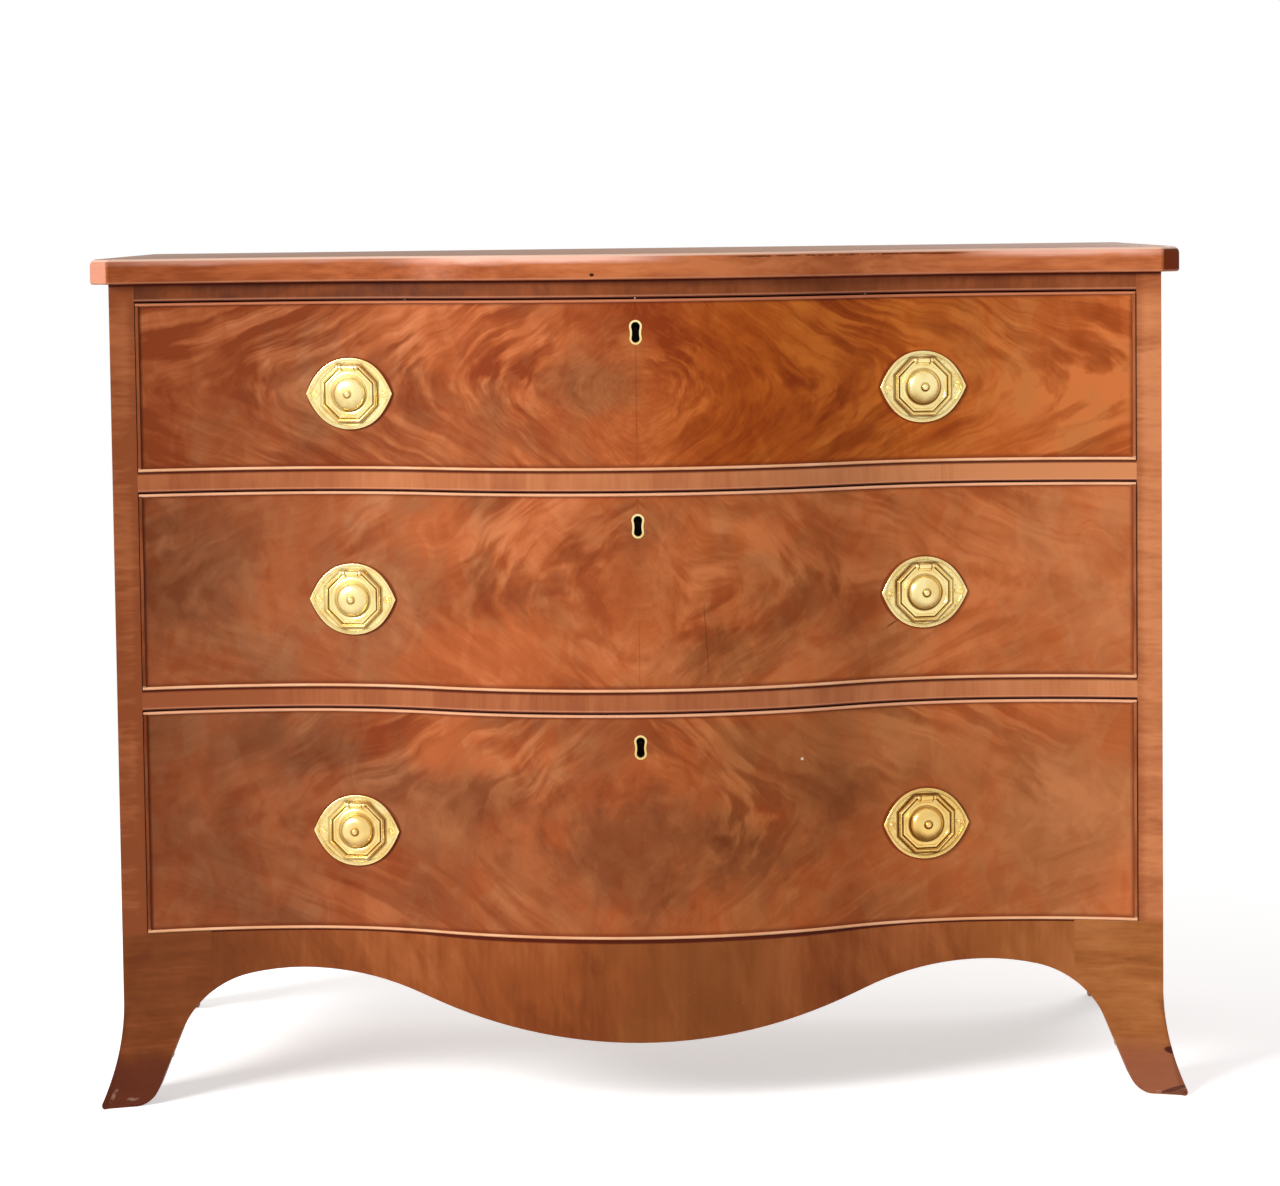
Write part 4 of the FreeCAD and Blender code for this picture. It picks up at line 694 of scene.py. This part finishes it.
def ringShadeAndDirt(finish, place):
    s = ringShadeAndWear
    px, py = planOf(finish)
    ax, ay = abs(px), abs(py)
    # painted shade along the ring's edges and at the barrel's ends
    edges = nearest(octagonReach(ax, ay), s["edges"]).rise(0.6, 0.2) * 0.4
    ends = ax.rise(*s["barrelEnd"]) * py.rise(*s["barrelLow"]) * 0.75
    return edges.math("MAXIMUM", ends), None


def brassFinish(name, shadeAndWear=None):
    finish = Finish(name)
    place = finish.place()
    x, y, z = finish.split(place)
    cloud = finish.noise(place, 45, 2, 0.5)
    smear = finish.noise(place, 300, 2, 0.5)
    dull = cloud.rise(0.58, 0.34) * 0.5 + z.rise(0.70, 0.30) * 0.3  # the lower handles are duller
    dull = dull + x.rise(0.15, 0.25) * z.rise(0.48, 0.38) * 0.5
    finish.colour = finish.mix(dull.clamp(), brassLook["bright"], brassLook["deep"])
    rough = brassLook["roughness"] + (smear - 0.5) * 0.10
    extra = {}
    if shadeAndWear:
        dirtAndShade, stipple = shadeAndWear(finish, place)
        # tarnish in the hollows, with painted shade
        dirtAndShade = dirtAndShade * (smear * 0.5 + 0.75) * (dull * 0.4 + 0.85)
        dirtAndShade = (dirtAndShade * (x.rise(-0.1, 0.1) * 0.4 + 0.9)).clamp()
        finish.paint(dirtAndShade, brassLook["tarnishAndShade"])
        rough = rough + dirtAndShade * 0.3
        if stipple:
            extra["Normal"] = finish.bump(stipple, 0.4, 0.0003)
    return finish.done(Base_Color=finish.colour, Metallic=brassLook["metallic"], Roughness=rough, **extra)


ironLook = {
    "rust": [(0.3, (0.010, 0.006, 0.004)), (0.6, (0.026, 0.017, 0.012)), (0.8, (0.060, 0.028, 0.013))],
    "metallic": 0.2, "roughness": 0.5, "specular": 0.1,
}


def ironFinish(look):
    finish = Finish("lock_iron")
    rust = finish.noise(finish.place(), 70, 4, 0.65)
    return finish.done(Base_Color=finish.ramp(rust, look["rust"]), Metallic=look["metallic"],
                       Roughness=look["roughness"] + rust * 0.25, Specular_IOR_Level=look["specular"])


flames = {level: flameVeneer(level) for level in levels}
mahogany = {name: straightWood(name) for name in straightWoods}
mahogany["foot"] = footWood(footLook)
mahogany["top"] = topWood(topLook)
beads = {level: beadWood(level, beadLook) for level in levels}
bare = {name: bareWood(name) for name in bareWoods}
brassPlain = brassFinish("brass_plain")
brassPlate = brassFinish("brass_plate", plateShadeAndDirt)
brassRing = brassFinish("brass_ring", ringShadeAndDirt)
iron = ironFinish(ironLook)
print("finishes ready")


def pickNone():
    bpy.ops.object.select_all(action="DESELECT")


def pickAlone(piece):
    pickNone()
    piece.select_set(True)
    bpy.context.view_layer.objects.active = piece


def pickAll():
    bpy.ops.mesh.select_all(action="SELECT")


def settle():  # place, turn and scale go into the mesh
    bpy.ops.object.transform_apply(location=True, rotation=True, scale=True)


def openMesh(piece):
    pickAlone(piece)
    bpy.ops.object.mode_set(mode="EDIT")


def closeMesh():
    bpy.ops.object.mode_set(mode="OBJECT")


def pick(piece, kind, test):  # select faces, edges or points by place or normal
    bpy.ops.mesh.select_mode(type=kind)
    bpy.ops.mesh.select_all(action="DESELECT")
    shape = bmesh.from_edit_mesh(piece.data)
    items = {"FACE": shape.faces, "EDGE": shape.edges, "VERT": shape.verts}[kind]
    for item in items:
        if test(item):
            item.select_set(True)
    shape.select_flush_mode()
    bmesh.update_edit_mesh(piece.data)


def giveFinish(piece, finish):
    piece.data.materials.clear()
    piece.data.materials.append(finish)


def frontTurn(x):  # direction the front faces at x, as a flat unit vector
    c = frontCurve
    place = min(abs(x) / mm, c["reach"])
    if place < c["bowEnd"]:
        slope = place / math.sqrt(c["bowRadius"] ** 2 - place ** 2)
    else:
        along = place - c["hollowAt"]
        radius = c["hollowRadius"] if along < 0 else c["endRadius"]
        slope = -along / math.sqrt(radius ** 2 - along ** 2)
    size = math.hypot(slope, 1)
    return (math.copysign(slope, x * slope) / size, -1 / size)


def reshade(piece, turned):  # each corner takes the normal that turned gives for it
    mesh = piece.data
    shading = [Vector(corner.vector) for corner in mesh.corner_normals]
    for face in mesh.polygons:
        for corner in face.loop_indices:
            point = mesh.vertices[mesh.loops[corner].vertex_index].co
            shading[corner] = turned(point, face.normal, shading[corner])
    mesh.normals_split_custom_set(shading)


def smoothFront(piece, front):  # shade front faces along the true curve of the front
    c = frontCurve

    def turned(point, facing, normal):
        if normal.dot(facing) < c["astray"]:
            normal = facing.copy()
        flat = math.hypot(normal.x, normal.y)
        tx, ty = frontTurn(point.x)
        alike = facing.x * tx + facing.y * ty
        if front and flat > c["upright"] and alike / flat > c["closeTo"]:
            lean = normal.z if abs(facing.z) > c["leaning"] else 0
            flat = math.sqrt(1 - lean * lean)
            normal = Vector((tx * flat, ty * flat, lean))
        return normal

    reshade(piece, turned)


footSizes = {  # millimetres
    "toeRound": 5.6, "toeCuts": 5, "outerFace": 559.5, "flareHeight": 106.0, "flareReach": 23.0,
}


def roundToe(piece, s):  # the outer arris on the floor is worn round
    openMesh(piece)
    for n in range(1, s["toeCuts"] + 1):
        height = s["toeRound"] * (1 - math.cos(n / s["toeCuts"] * math.pi / 2))
        pickAll()
        bpy.ops.mesh.bisect(plane_co=(0, 0, height * mm), plane_no=(0, 0, 1))
    closeMesh()
    for point in piece.data.vertices:
        left = s["toeRound"] - point.co.z / mm
        if left > 0 and abs(point.co.x) > s["outerFace"] * mm:
            inward = s["toeRound"] - math.sqrt(s["toeRound"] ** 2 - min(left, s["toeRound"]) ** 2)
            point.co.x -= math.copysign(inward * mm, point.co.x)


def smoothFoot(piece, s, isFront):  # shade the flared faces along their true curve
    radius = arcRadius(s["flareHeight"], s["flareReach"])

    def turned(point, facing, normal):
        if point.z < s["toeRound"] * mm:
            return normal
        lean = max(0.0, s["flareHeight"] - point.z / mm) / radius
        flat = math.sqrt(1 - lean * lean)
        ways = [(math.copysign(1, point.x), 0)]
        if isFront:
            ways.append(frontTurn(point.x))
        for tx, ty in ways:
            along = Vector((tx * flat, ty * flat, lean))
            if along.dot(facing) > frontCurve["closeTo"]:
                normal = along
        return normal

    reshade(piece, turned)


smoothUnder = {"board": 35, "bead": 60, "brass": 40, "plate": 34, "ring": 32}  # degrees
mergeWithin = 0.00001


def dress(node, finish, body, angle, front=True):  # smooth copy of a curved node
    piece = bpy.data.objects.new(f"dressed_{node}", nodes[node].data.copy())
    bpy.context.scene.collection.objects.link(piece)
    openMesh(piece)
    pickAll()
    bpy.ops.mesh.remove_doubles(threshold=mergeWithin)
    closeMesh()
    if "foot" in node:
        roundToe(piece, footSizes)
    bpy.ops.object.shade_smooth_by_angle(angle=math.radians(angle))
    smoothFront(piece, front)
    if "foot" in node:
        smoothFoot(piece, footSizes, "front" in node)
    giveFinish(piece, finish)
    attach(piece, body)
    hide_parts(node)


carcassDressed = {
    "top_board": "top", "right_stile": "stile", "left_stile": "stile", "top_rail": "rail",
    "upper_blade": "crossband", "lower_blade": "crossband", "apron": "apron",
    "right_front_foot": "foot", "left_front_foot": "foot", "right_back_foot": "foot",
    "left_back_foot": "foot",
}
for node, wood in carcassDressed.items():
    dress(node, mahogany[wood], "carcass", smoothUnder["board"], "foot" not in node)
for level in levels:
    drawer = f"{level}_drawer"
    dress(f"{level}_front", flames[level], drawer, smoothUnder["board"])
    dress(f"{level}_cockbead", beads[level], drawer, smoothUnder["bead"])
    dress(f"{level}_escutcheon", brassPlain, drawer, smoothUnder["brass"], False)
    dress(f"{level}_handle_posts", brassPlain, drawer, smoothUnder["brass"], False)
plainNodes = {
    "right_side": mahogany["side"], "left_side": mahogany["side"], "back_rail": bare["pine"],
    "upper_dust_board": bare["pine"], "lower_dust_board": bare["pine"], "bottom_board": bare["pine"],
    "back_boards": bare["pineUpright"], "glue_blocks": bare["pineUpright"],
    "guide_strips": bare["oak"], "drawer_stops": bare["oak"],
}
drawerPlain = {
    "right_side": bare["oak"], "left_side": bare["oak"], "back": bare["oakBoard"],
    "bottom": bare["oakBoard"], "lock": iron, "lock_bolt": iron,
}
for level in levels:
    plainNodes.update({f"{level}_{part}": finish for part, finish in drawerPlain.items()})
for node, finish in plainNodes.items():
    giveFinish(nodes[node], finish)
print("case and drawers dressed")


def addCylinder(sides, radius, low, high, turn=0.0, at=(0, 0)):
    pickNone()
    bpy.ops.mesh.primitive_cylinder_add(
        vertices=sides, radius=radius * mm, depth=(high - low) * mm,
        location=(at[0] * mm, at[1] * mm, (high + low) / 2 * mm), rotation=(0, 0, math.radians(turn)))
    settle()
    return bpy.context.object


def addOctagon(apothem, low, high):
    return addCylinder(octagon["sides"], apothem * octagon["corner"], low, high, octagon["turn"])


def topFace(piece, height):
    pick(piece, "FACE", lambda f: f.normal.z > 0.9 and f.calc_center_median().z > (height - 0.01) * mm)


def climb(piece, profile):  # inset the top face from step to step of a profile
    topFace(piece, profile[0][1])
    for (r0, z0), (r1, z1) in zip(profile, profile[1:]):
        if r0 - r1 > 0.001:
            bpy.ops.mesh.inset(thickness=(r0 - r1) * mm, depth=0, use_even_offset=True)
        else:
            bpy.ops.mesh.extrude_region_move()
        bpy.ops.transform.translate(value=(0, 0, (z1 - z0) * mm))


def stepTop(piece, height, steps):  # inset the top face and move it, step by step
    openMesh(piece)
    topFace(piece, height)
    for inward, lift in steps:
        bpy.ops.mesh.inset(thickness=inward * mm, depth=0)
        bpy.ops.transform.translate(value=(0, 0, lift * mm))


def mergePieces(first, others):
    pickNone()
    for piece in others:
        piece.select_set(True)
    first.select_set(True)
    bpy.context.view_layer.objects.active = first
    bpy.ops.object.join()


def roundOver(outer, inner, low, high, power=2.0, steps=8):  # steep at its foot, flat at its crown
    turns = [n / steps * math.pi / 2 for n in range(steps + 1)]
    return [(inner + (outer - inner) * math.cos(turn) ** (2 / power),
             low + (high - low) * math.sin(turn) ** (2 / power)) for turn in turns]


def bossProfile(s):  # radius and height: a bead, a groove, the dome and its knob
    bead = roundOver(s["bead"], s["beadCrown"], s["beadFoot"], s["beadHeight"], steps=3)
    fall = roundOver(s["groove"], s["beadCrown"], s["grooveHeight"], s["beadHeight"], steps=3)
    dome = roundOver(s["dome"], s["knobRoot"], s["grooveHeight"], s["domeHeight"], s["domePower"])
    knob = roundOver(s["knob"], s["knobTip"], s["knobFoot"], s["knobHeight"], steps=5)
    return [(s["bead"], s["bossFoot"])] + bead + fall[-2::-1] + dome + knob


def outlinePlate(s):  # two arcs that meet in points, filled
    pickNone()
    bpy.ops.mesh.primitive_circle_add(
        vertices=s["arcCuts"], radius=plateArc * mm, location=(0, -plateSink * mm, s["back"] * mm))
    settle()
    plate = bpy.context.object
    openMesh(plate)
    pickAll()
    bpy.ops.mesh.bisect(plane_co=(0, 0, 0), plane_no=(0, 1, 0), clear_inner=True)  # upper arc
    pickAll()
    bpy.ops.mesh.duplicate()
    bpy.ops.transform.resize(value=(1, -1, 1), center_override=(0, 0, 0))
    pickAll()
    bpy.ops.mesh.remove_doubles(threshold=0.00002)
    bpy.ops.mesh.edge_face_add()
    closeMesh()
    for point in plate.data.vertices:  # drawn in towards the tips
        point.co.y *= 1 - s["draw"] * (point.co.x / (s["drawAt"] * mm)) ** s["drawPower"]
    return plate


def sinkField(plate, s):  # thicken the plate, round its rim and sink the field inside
    openMesh(plate)
    pick(plate, "VERT", lambda v: abs(v.co.x) > s["clear"] * mm and abs(v.co.y) > 0.01 * mm)
    bpy.ops.mesh.dissolve_verts()  # long last edges keep the tips clean
    pickAll()
    thick = (s["rimHeight"] - s["back"]) * mm
    bpy.ops.mesh.extrude_region_move(TRANSFORM_OT_translate={"value": (0, 0, thick)})
    pickAll()
    bpy.ops.mesh.normals_make_consistent(inside=False)
    topFace(plate, s["rimHeight"])
    bpy.ops.mesh.inset(thickness=s["rimWidth"] * mm, depth=0)
    pick(plate, "EDGE", lambda e: all(v.co.z > (s["rimHeight"] - 0.01) * mm for v in e.verts))
    bpy.ops.mesh.bevel(offset=s["rimBevel"] * mm, segments=3, affect="EDGES")
    pick(plate, "FACE", lambda f: f.normal.z > 0.9 and len(f.verts) > 20)
    bpy.ops.mesh.inset(thickness=s["fieldInset"] * mm, depth=0)
    bpy.ops.transform.translate(value=(0, 0, (s["fieldHeight"] - s["rimHeight"]) * mm))
    closeMesh()


def makeTrims(s):  # eight-sided, one on the other
    trims = []
    for name in ("platform", "collar"):
        trim = addOctagon(s[f"{name}Apothem"], s["foot"], s[f"{name}Height"])
        stepTop(trim, s[f"{name}Height"], s[f"{name}Steps"])
        closeMesh()
        trims.append(trim)
    return trims


def makeBoss(s):
    boss = addCylinder(96, s["bead"], s["foot"], s["bossFoot"])
    openMesh(boss)
    climb(boss, bossProfile(s))
    closeMesh()
    return boss


def makePaterae(s):  # a small turned button towards each tip
    patera = addCylinder(32, s["pateraRadius"], s["foot"], s["pateraHeight"], at=(s["pateraAt"], 0))
    stepTop(patera, s["pateraHeight"], s["pateraSteps"])
    pickAll()
    bpy.ops.mesh.duplicate()
    bpy.ops.transform.translate(value=(-2 * s["pateraAt"] * mm, 0, 0))
    closeMesh()
    return patera


def makePlate(s):
    plate = outlinePlate(s)
    sinkField(plate, s)
    mergePieces(plate, makeTrims(s) + [makeBoss(s), makePaterae(s)])
    openMesh(plate)
    for step in range(-s["bendCuts"], s["bendCuts"] + 1):  # cuts that let the plate follow the hollow
        pickAll()
        bpy.ops.mesh.bisect(plane_co=(step * s["bendStep"] * mm, 0, 0), plane_no=(1, 0, 0))
    closeMesh()
    markPlan(plate)
    bendToHollow(plate, frontCurve["hollowRadius"] * mm)
    bpy.ops.object.shade_smooth_by_angle(angle=math.radians(smoothUnder["plate"]))
    return plate


def markPlan(piece):  # flat map of a handle part, for its tarnish and painted shade
    plan = piece.data.uv_layers.new(name="plan")
    for corner in piece.data.loops:
        x, y, z = piece.data.vertices[corner.vertex_index].co
        plan.data[corner.index].uv = (x / (planWide * mm) + 0.5, y / (planWide * mm) + 0.5)


def bendToHollow(piece, radius):
    for point in piece.data.vertices:
        point.co.z += radius - math.sqrt(radius * radius - point.co.x ** 2)
    piece.data.update()


def shapeRing(s):  # eight-sided, sloping up to a ridge from both edges
    slope = (s["width"] - s["ridge"]) / 2
    climbs = s["thickness"] - s["edge"]
    shoulder = s["back"] + s["edge"]
    ring = addOctagon(s["apothem"], s["back"], shoulder)
    stepTop(ring, shoulder, ((slope, climbs), (s["ridge"], 0), (slope, -climbs)))
    bpy.ops.mesh.delete(type="FACE")
    pick(ring, "FACE", lambda f: f.normal.z < -0.9)
    bpy.ops.mesh.inset(thickness=s["width"] * mm, depth=0)
    bpy.ops.mesh.delete(type="FACE")
    pick(ring, "EDGE", lambda e: e.is_boundary)
    bpy.ops.mesh.bridge_edge_loops()
    pickAll()
    bpy.ops.mesh.normals_make_consistent(inside=False)
    pick(ring, "EDGE", lambda e: e.calc_face_angle(0) > 0.3)
    bpy.ops.mesh.bevel(offset=s["bevel"] * mm, segments=2, affect="EDGES")
    closeMesh()
    return ring


def cutGap(ring, s):  # room for the barrel between the knuckles
    pickNone()
    bpy.ops.mesh.primitive_cube_add(size=1, location=(0, s["hingeUp"] * mm, s["notchOut"] * mm))
    notch = bpy.context.object
    notch.scale = (2 * s["gap"] * mm, s["notchTall"] * mm, s["notchDeep"] * mm)
    pickAlone(ring)
    gap = ring.modifiers.new("barrel_gap", "BOOLEAN")
    gap.operation = "DIFFERENCE"
    gap.solver = "EXACT"
    gap.object = notch
    bpy.ops.object.modifier_apply(modifier=gap.name)
    bpy.data.objects.remove(notch)


def makeKnuckle(s, sign):
    knuckle = addCylinder(24, s["knuckleRadius"], s["gap"], s["knuckleEnd"])
    openMesh(knuckle)
    pick(knuckle, "EDGE", lambda e: abs(e.calc_face_angle(0)) > 1.2)
    bpy.ops.mesh.bevel(offset=s["knuckleBevel"] * mm, segments=3, affect="EDGES")
    closeMesh()
    knuckle.rotation_euler = (0, sign * math.pi / 2, 0)
    knuckle.location = (0, s["hingeUp"] * mm, s["hingeOut"] * mm)
    settle()
    return knuckle


def makeRing(s):
    ring = shapeRing(s)
    cutGap(ring, s)
    mergePieces(ring, [makeKnuckle(s, sign) for sign in (1, -1)])
    for layer in list(ring.data.uv_layers):
        ring.data.uv_layers.remove(layer)
    markPlan(ring)
    bpy.ops.object.shade_smooth_by_angle(angle=math.radians(smoothUnder["ring"]))
    return ring


def setCopy(pattern, name, seat):  # own mesh, moved to its seat
    copy = pattern.copy()
    copy.data = pattern.data.copy()
    copy.name = name
    bpy.context.scene.collection.objects.link(copy)
    copy.matrix_world = seat
    pickAlone(copy)
    settle()
    return copy


platePattern = makePlate(handleSizes)
giveFinish(platePattern, brassPlate)
ringPattern = makeRing(ringSizes)
giveFinish(ringPattern, brassRing)
for level in levels:
    for side in ("right", "left"):
        seat = seatOf(f"{level}_{side}_ring")
        plate = setCopy(platePattern, f"{level}_{side}_backplate", seat)
        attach(plate, f"{level}_drawer")
        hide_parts(f"{level}_handle_plates")
        ring = setCopy(ringPattern, f"{level}_{side}_drop_ring", seat)
        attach(ring, f"{level}_{side}_ring")
        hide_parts(f"{level}_{side}_ring")
bpy.data.objects.remove(platePattern)
bpy.data.objects.remove(ringPattern)
print("handles set")


stageLook = {
    "floorHalf": 30.0, "floorTone": 0.93, "floorRough": 0.9, "floorLift": 0.56,
    "fadeStart": 0.8, "fadeEnd": 2.2, "ambient": 0.26,
    "lamps": {  # place, watts, size
        "key": ((-5.8, -5.8, 4.5), 720, 3.0),
        "behind": ((2.6, 4.6, 3.2), 110, 3.0),
    },
    "aim": (0, -0.2, 0.45),
}


def cameraRays(finish):  # 1 where the eye, or a mirror or glass, looks straight at it
    node = finish.tree.nodes.new("ShaderNodeLightPath")
    seen = [Wire(finish, node.outputs[name]) for name in
            ("Is Camera Ray", "Is Glossy Ray", "Is Transmission Ray")]
    return (seen[0] + seen[1] + seen[2]).clamp()


def makeFloor(s):
    pickNone()
    bpy.ops.mesh.primitive_plane_add(size=2 * s["floorHalf"], location=(0, 0, 0))
    floor = bpy.context.object
    floor.name = "studio_floor"
    finish = Finish("pale_floor")
    x, y, z = finish.split(finish.place())
    far = (x * x + y * y).math("SQRT").rise(s["fadeStart"], s["fadeEnd"])
    seen = cameraRays(finish)
    finish.done(Base_Color=(s["floorTone"],) * 3, Roughness=s["floorRough"], Specular_IOR_Level=0.0)
    lift = finish.add("ShaderNodeEmission", {}, {0: (1, 1, 1), 1: seen * s["floorLift"]})
    lit = finish.add("ShaderNodeAddShader", {}, {0: Wire(finish, finish.shader.outputs[0]), 1: lift})
    glow = finish.add("ShaderNodeEmission", {}, {0: (1, 1, 1), 1: 1.0})
    both = finish.add("ShaderNodeMixShader", {}, {0: far * seen, 1: lit, 2: glow})
    finish.tree.links.new(both.socket, finish.tree.nodes["Material Output"].inputs[0])
    giveFinish(floor, finish.material)


def makeWorld(s):
    world = bpy.data.worlds.new("studio")
    bpy.context.scene.world = world
    world.use_nodes = True
    finish = Finish("studio", world.node_tree)
    seen = cameraRays(finish)
    back = finish.tree.nodes["Background"]
    finish.feed(back, {0: (1, 1, 1), 1: seen + (1 - seen) * s["ambient"]})


def makeLamp(name, power, at, size, aim):
    pickNone()
    bpy.ops.object.light_add(type="AREA", location=at)
    lamp = bpy.context.object
    lamp.name = name
    lamp.data.energy = power
    lamp.data.size = size
    reach = [a - b for a, b in zip(aim, at)]
    flat = math.hypot(reach[0], reach[1])
    lamp.rotation_euler = (math.atan2(flat, -reach[2]), 0, math.atan2(reach[1], reach[0]) - math.pi / 2)


cameraView = {
    "at": (-0.0014, -4.273, 0.9185), "pitch": 4.048, "yaw": -0.057, "roll": -0.7145,
    "lens": 111.07, "sensor": 36, "shiftY": -0.08,
}


def makeCamera(s):
    data = bpy.data.cameras.new("view")
    data.lens = s["lens"]
    data.sensor_width = s["sensor"]
    data.shift_y = s["shiftY"]
    camera = bpy.data.objects.new("view", data)
    bpy.context.scene.collection.objects.link(camera)
    camera.location = s["at"]
    turn = (Matrix.Rotation(math.radians(s["yaw"]), 3, "Z")
            @ Matrix.Rotation(math.radians(90 - s["pitch"]), 3, "X")
            @ Matrix.Rotation(math.radians(s["roll"]), 3, "Z"))
    camera.rotation_euler = turn.to_euler()
    bpy.context.scene.camera = camera


makeFloor(stageLook)
makeWorld(stageLook)
for name, (at, power, size) in stageLook["lamps"].items():
    makeLamp(name, power, at, size, stageLook["aim"])
makeCamera(cameraView)
bpy.context.scene.view_settings.view_transform = "Standard"
print("stage ready")
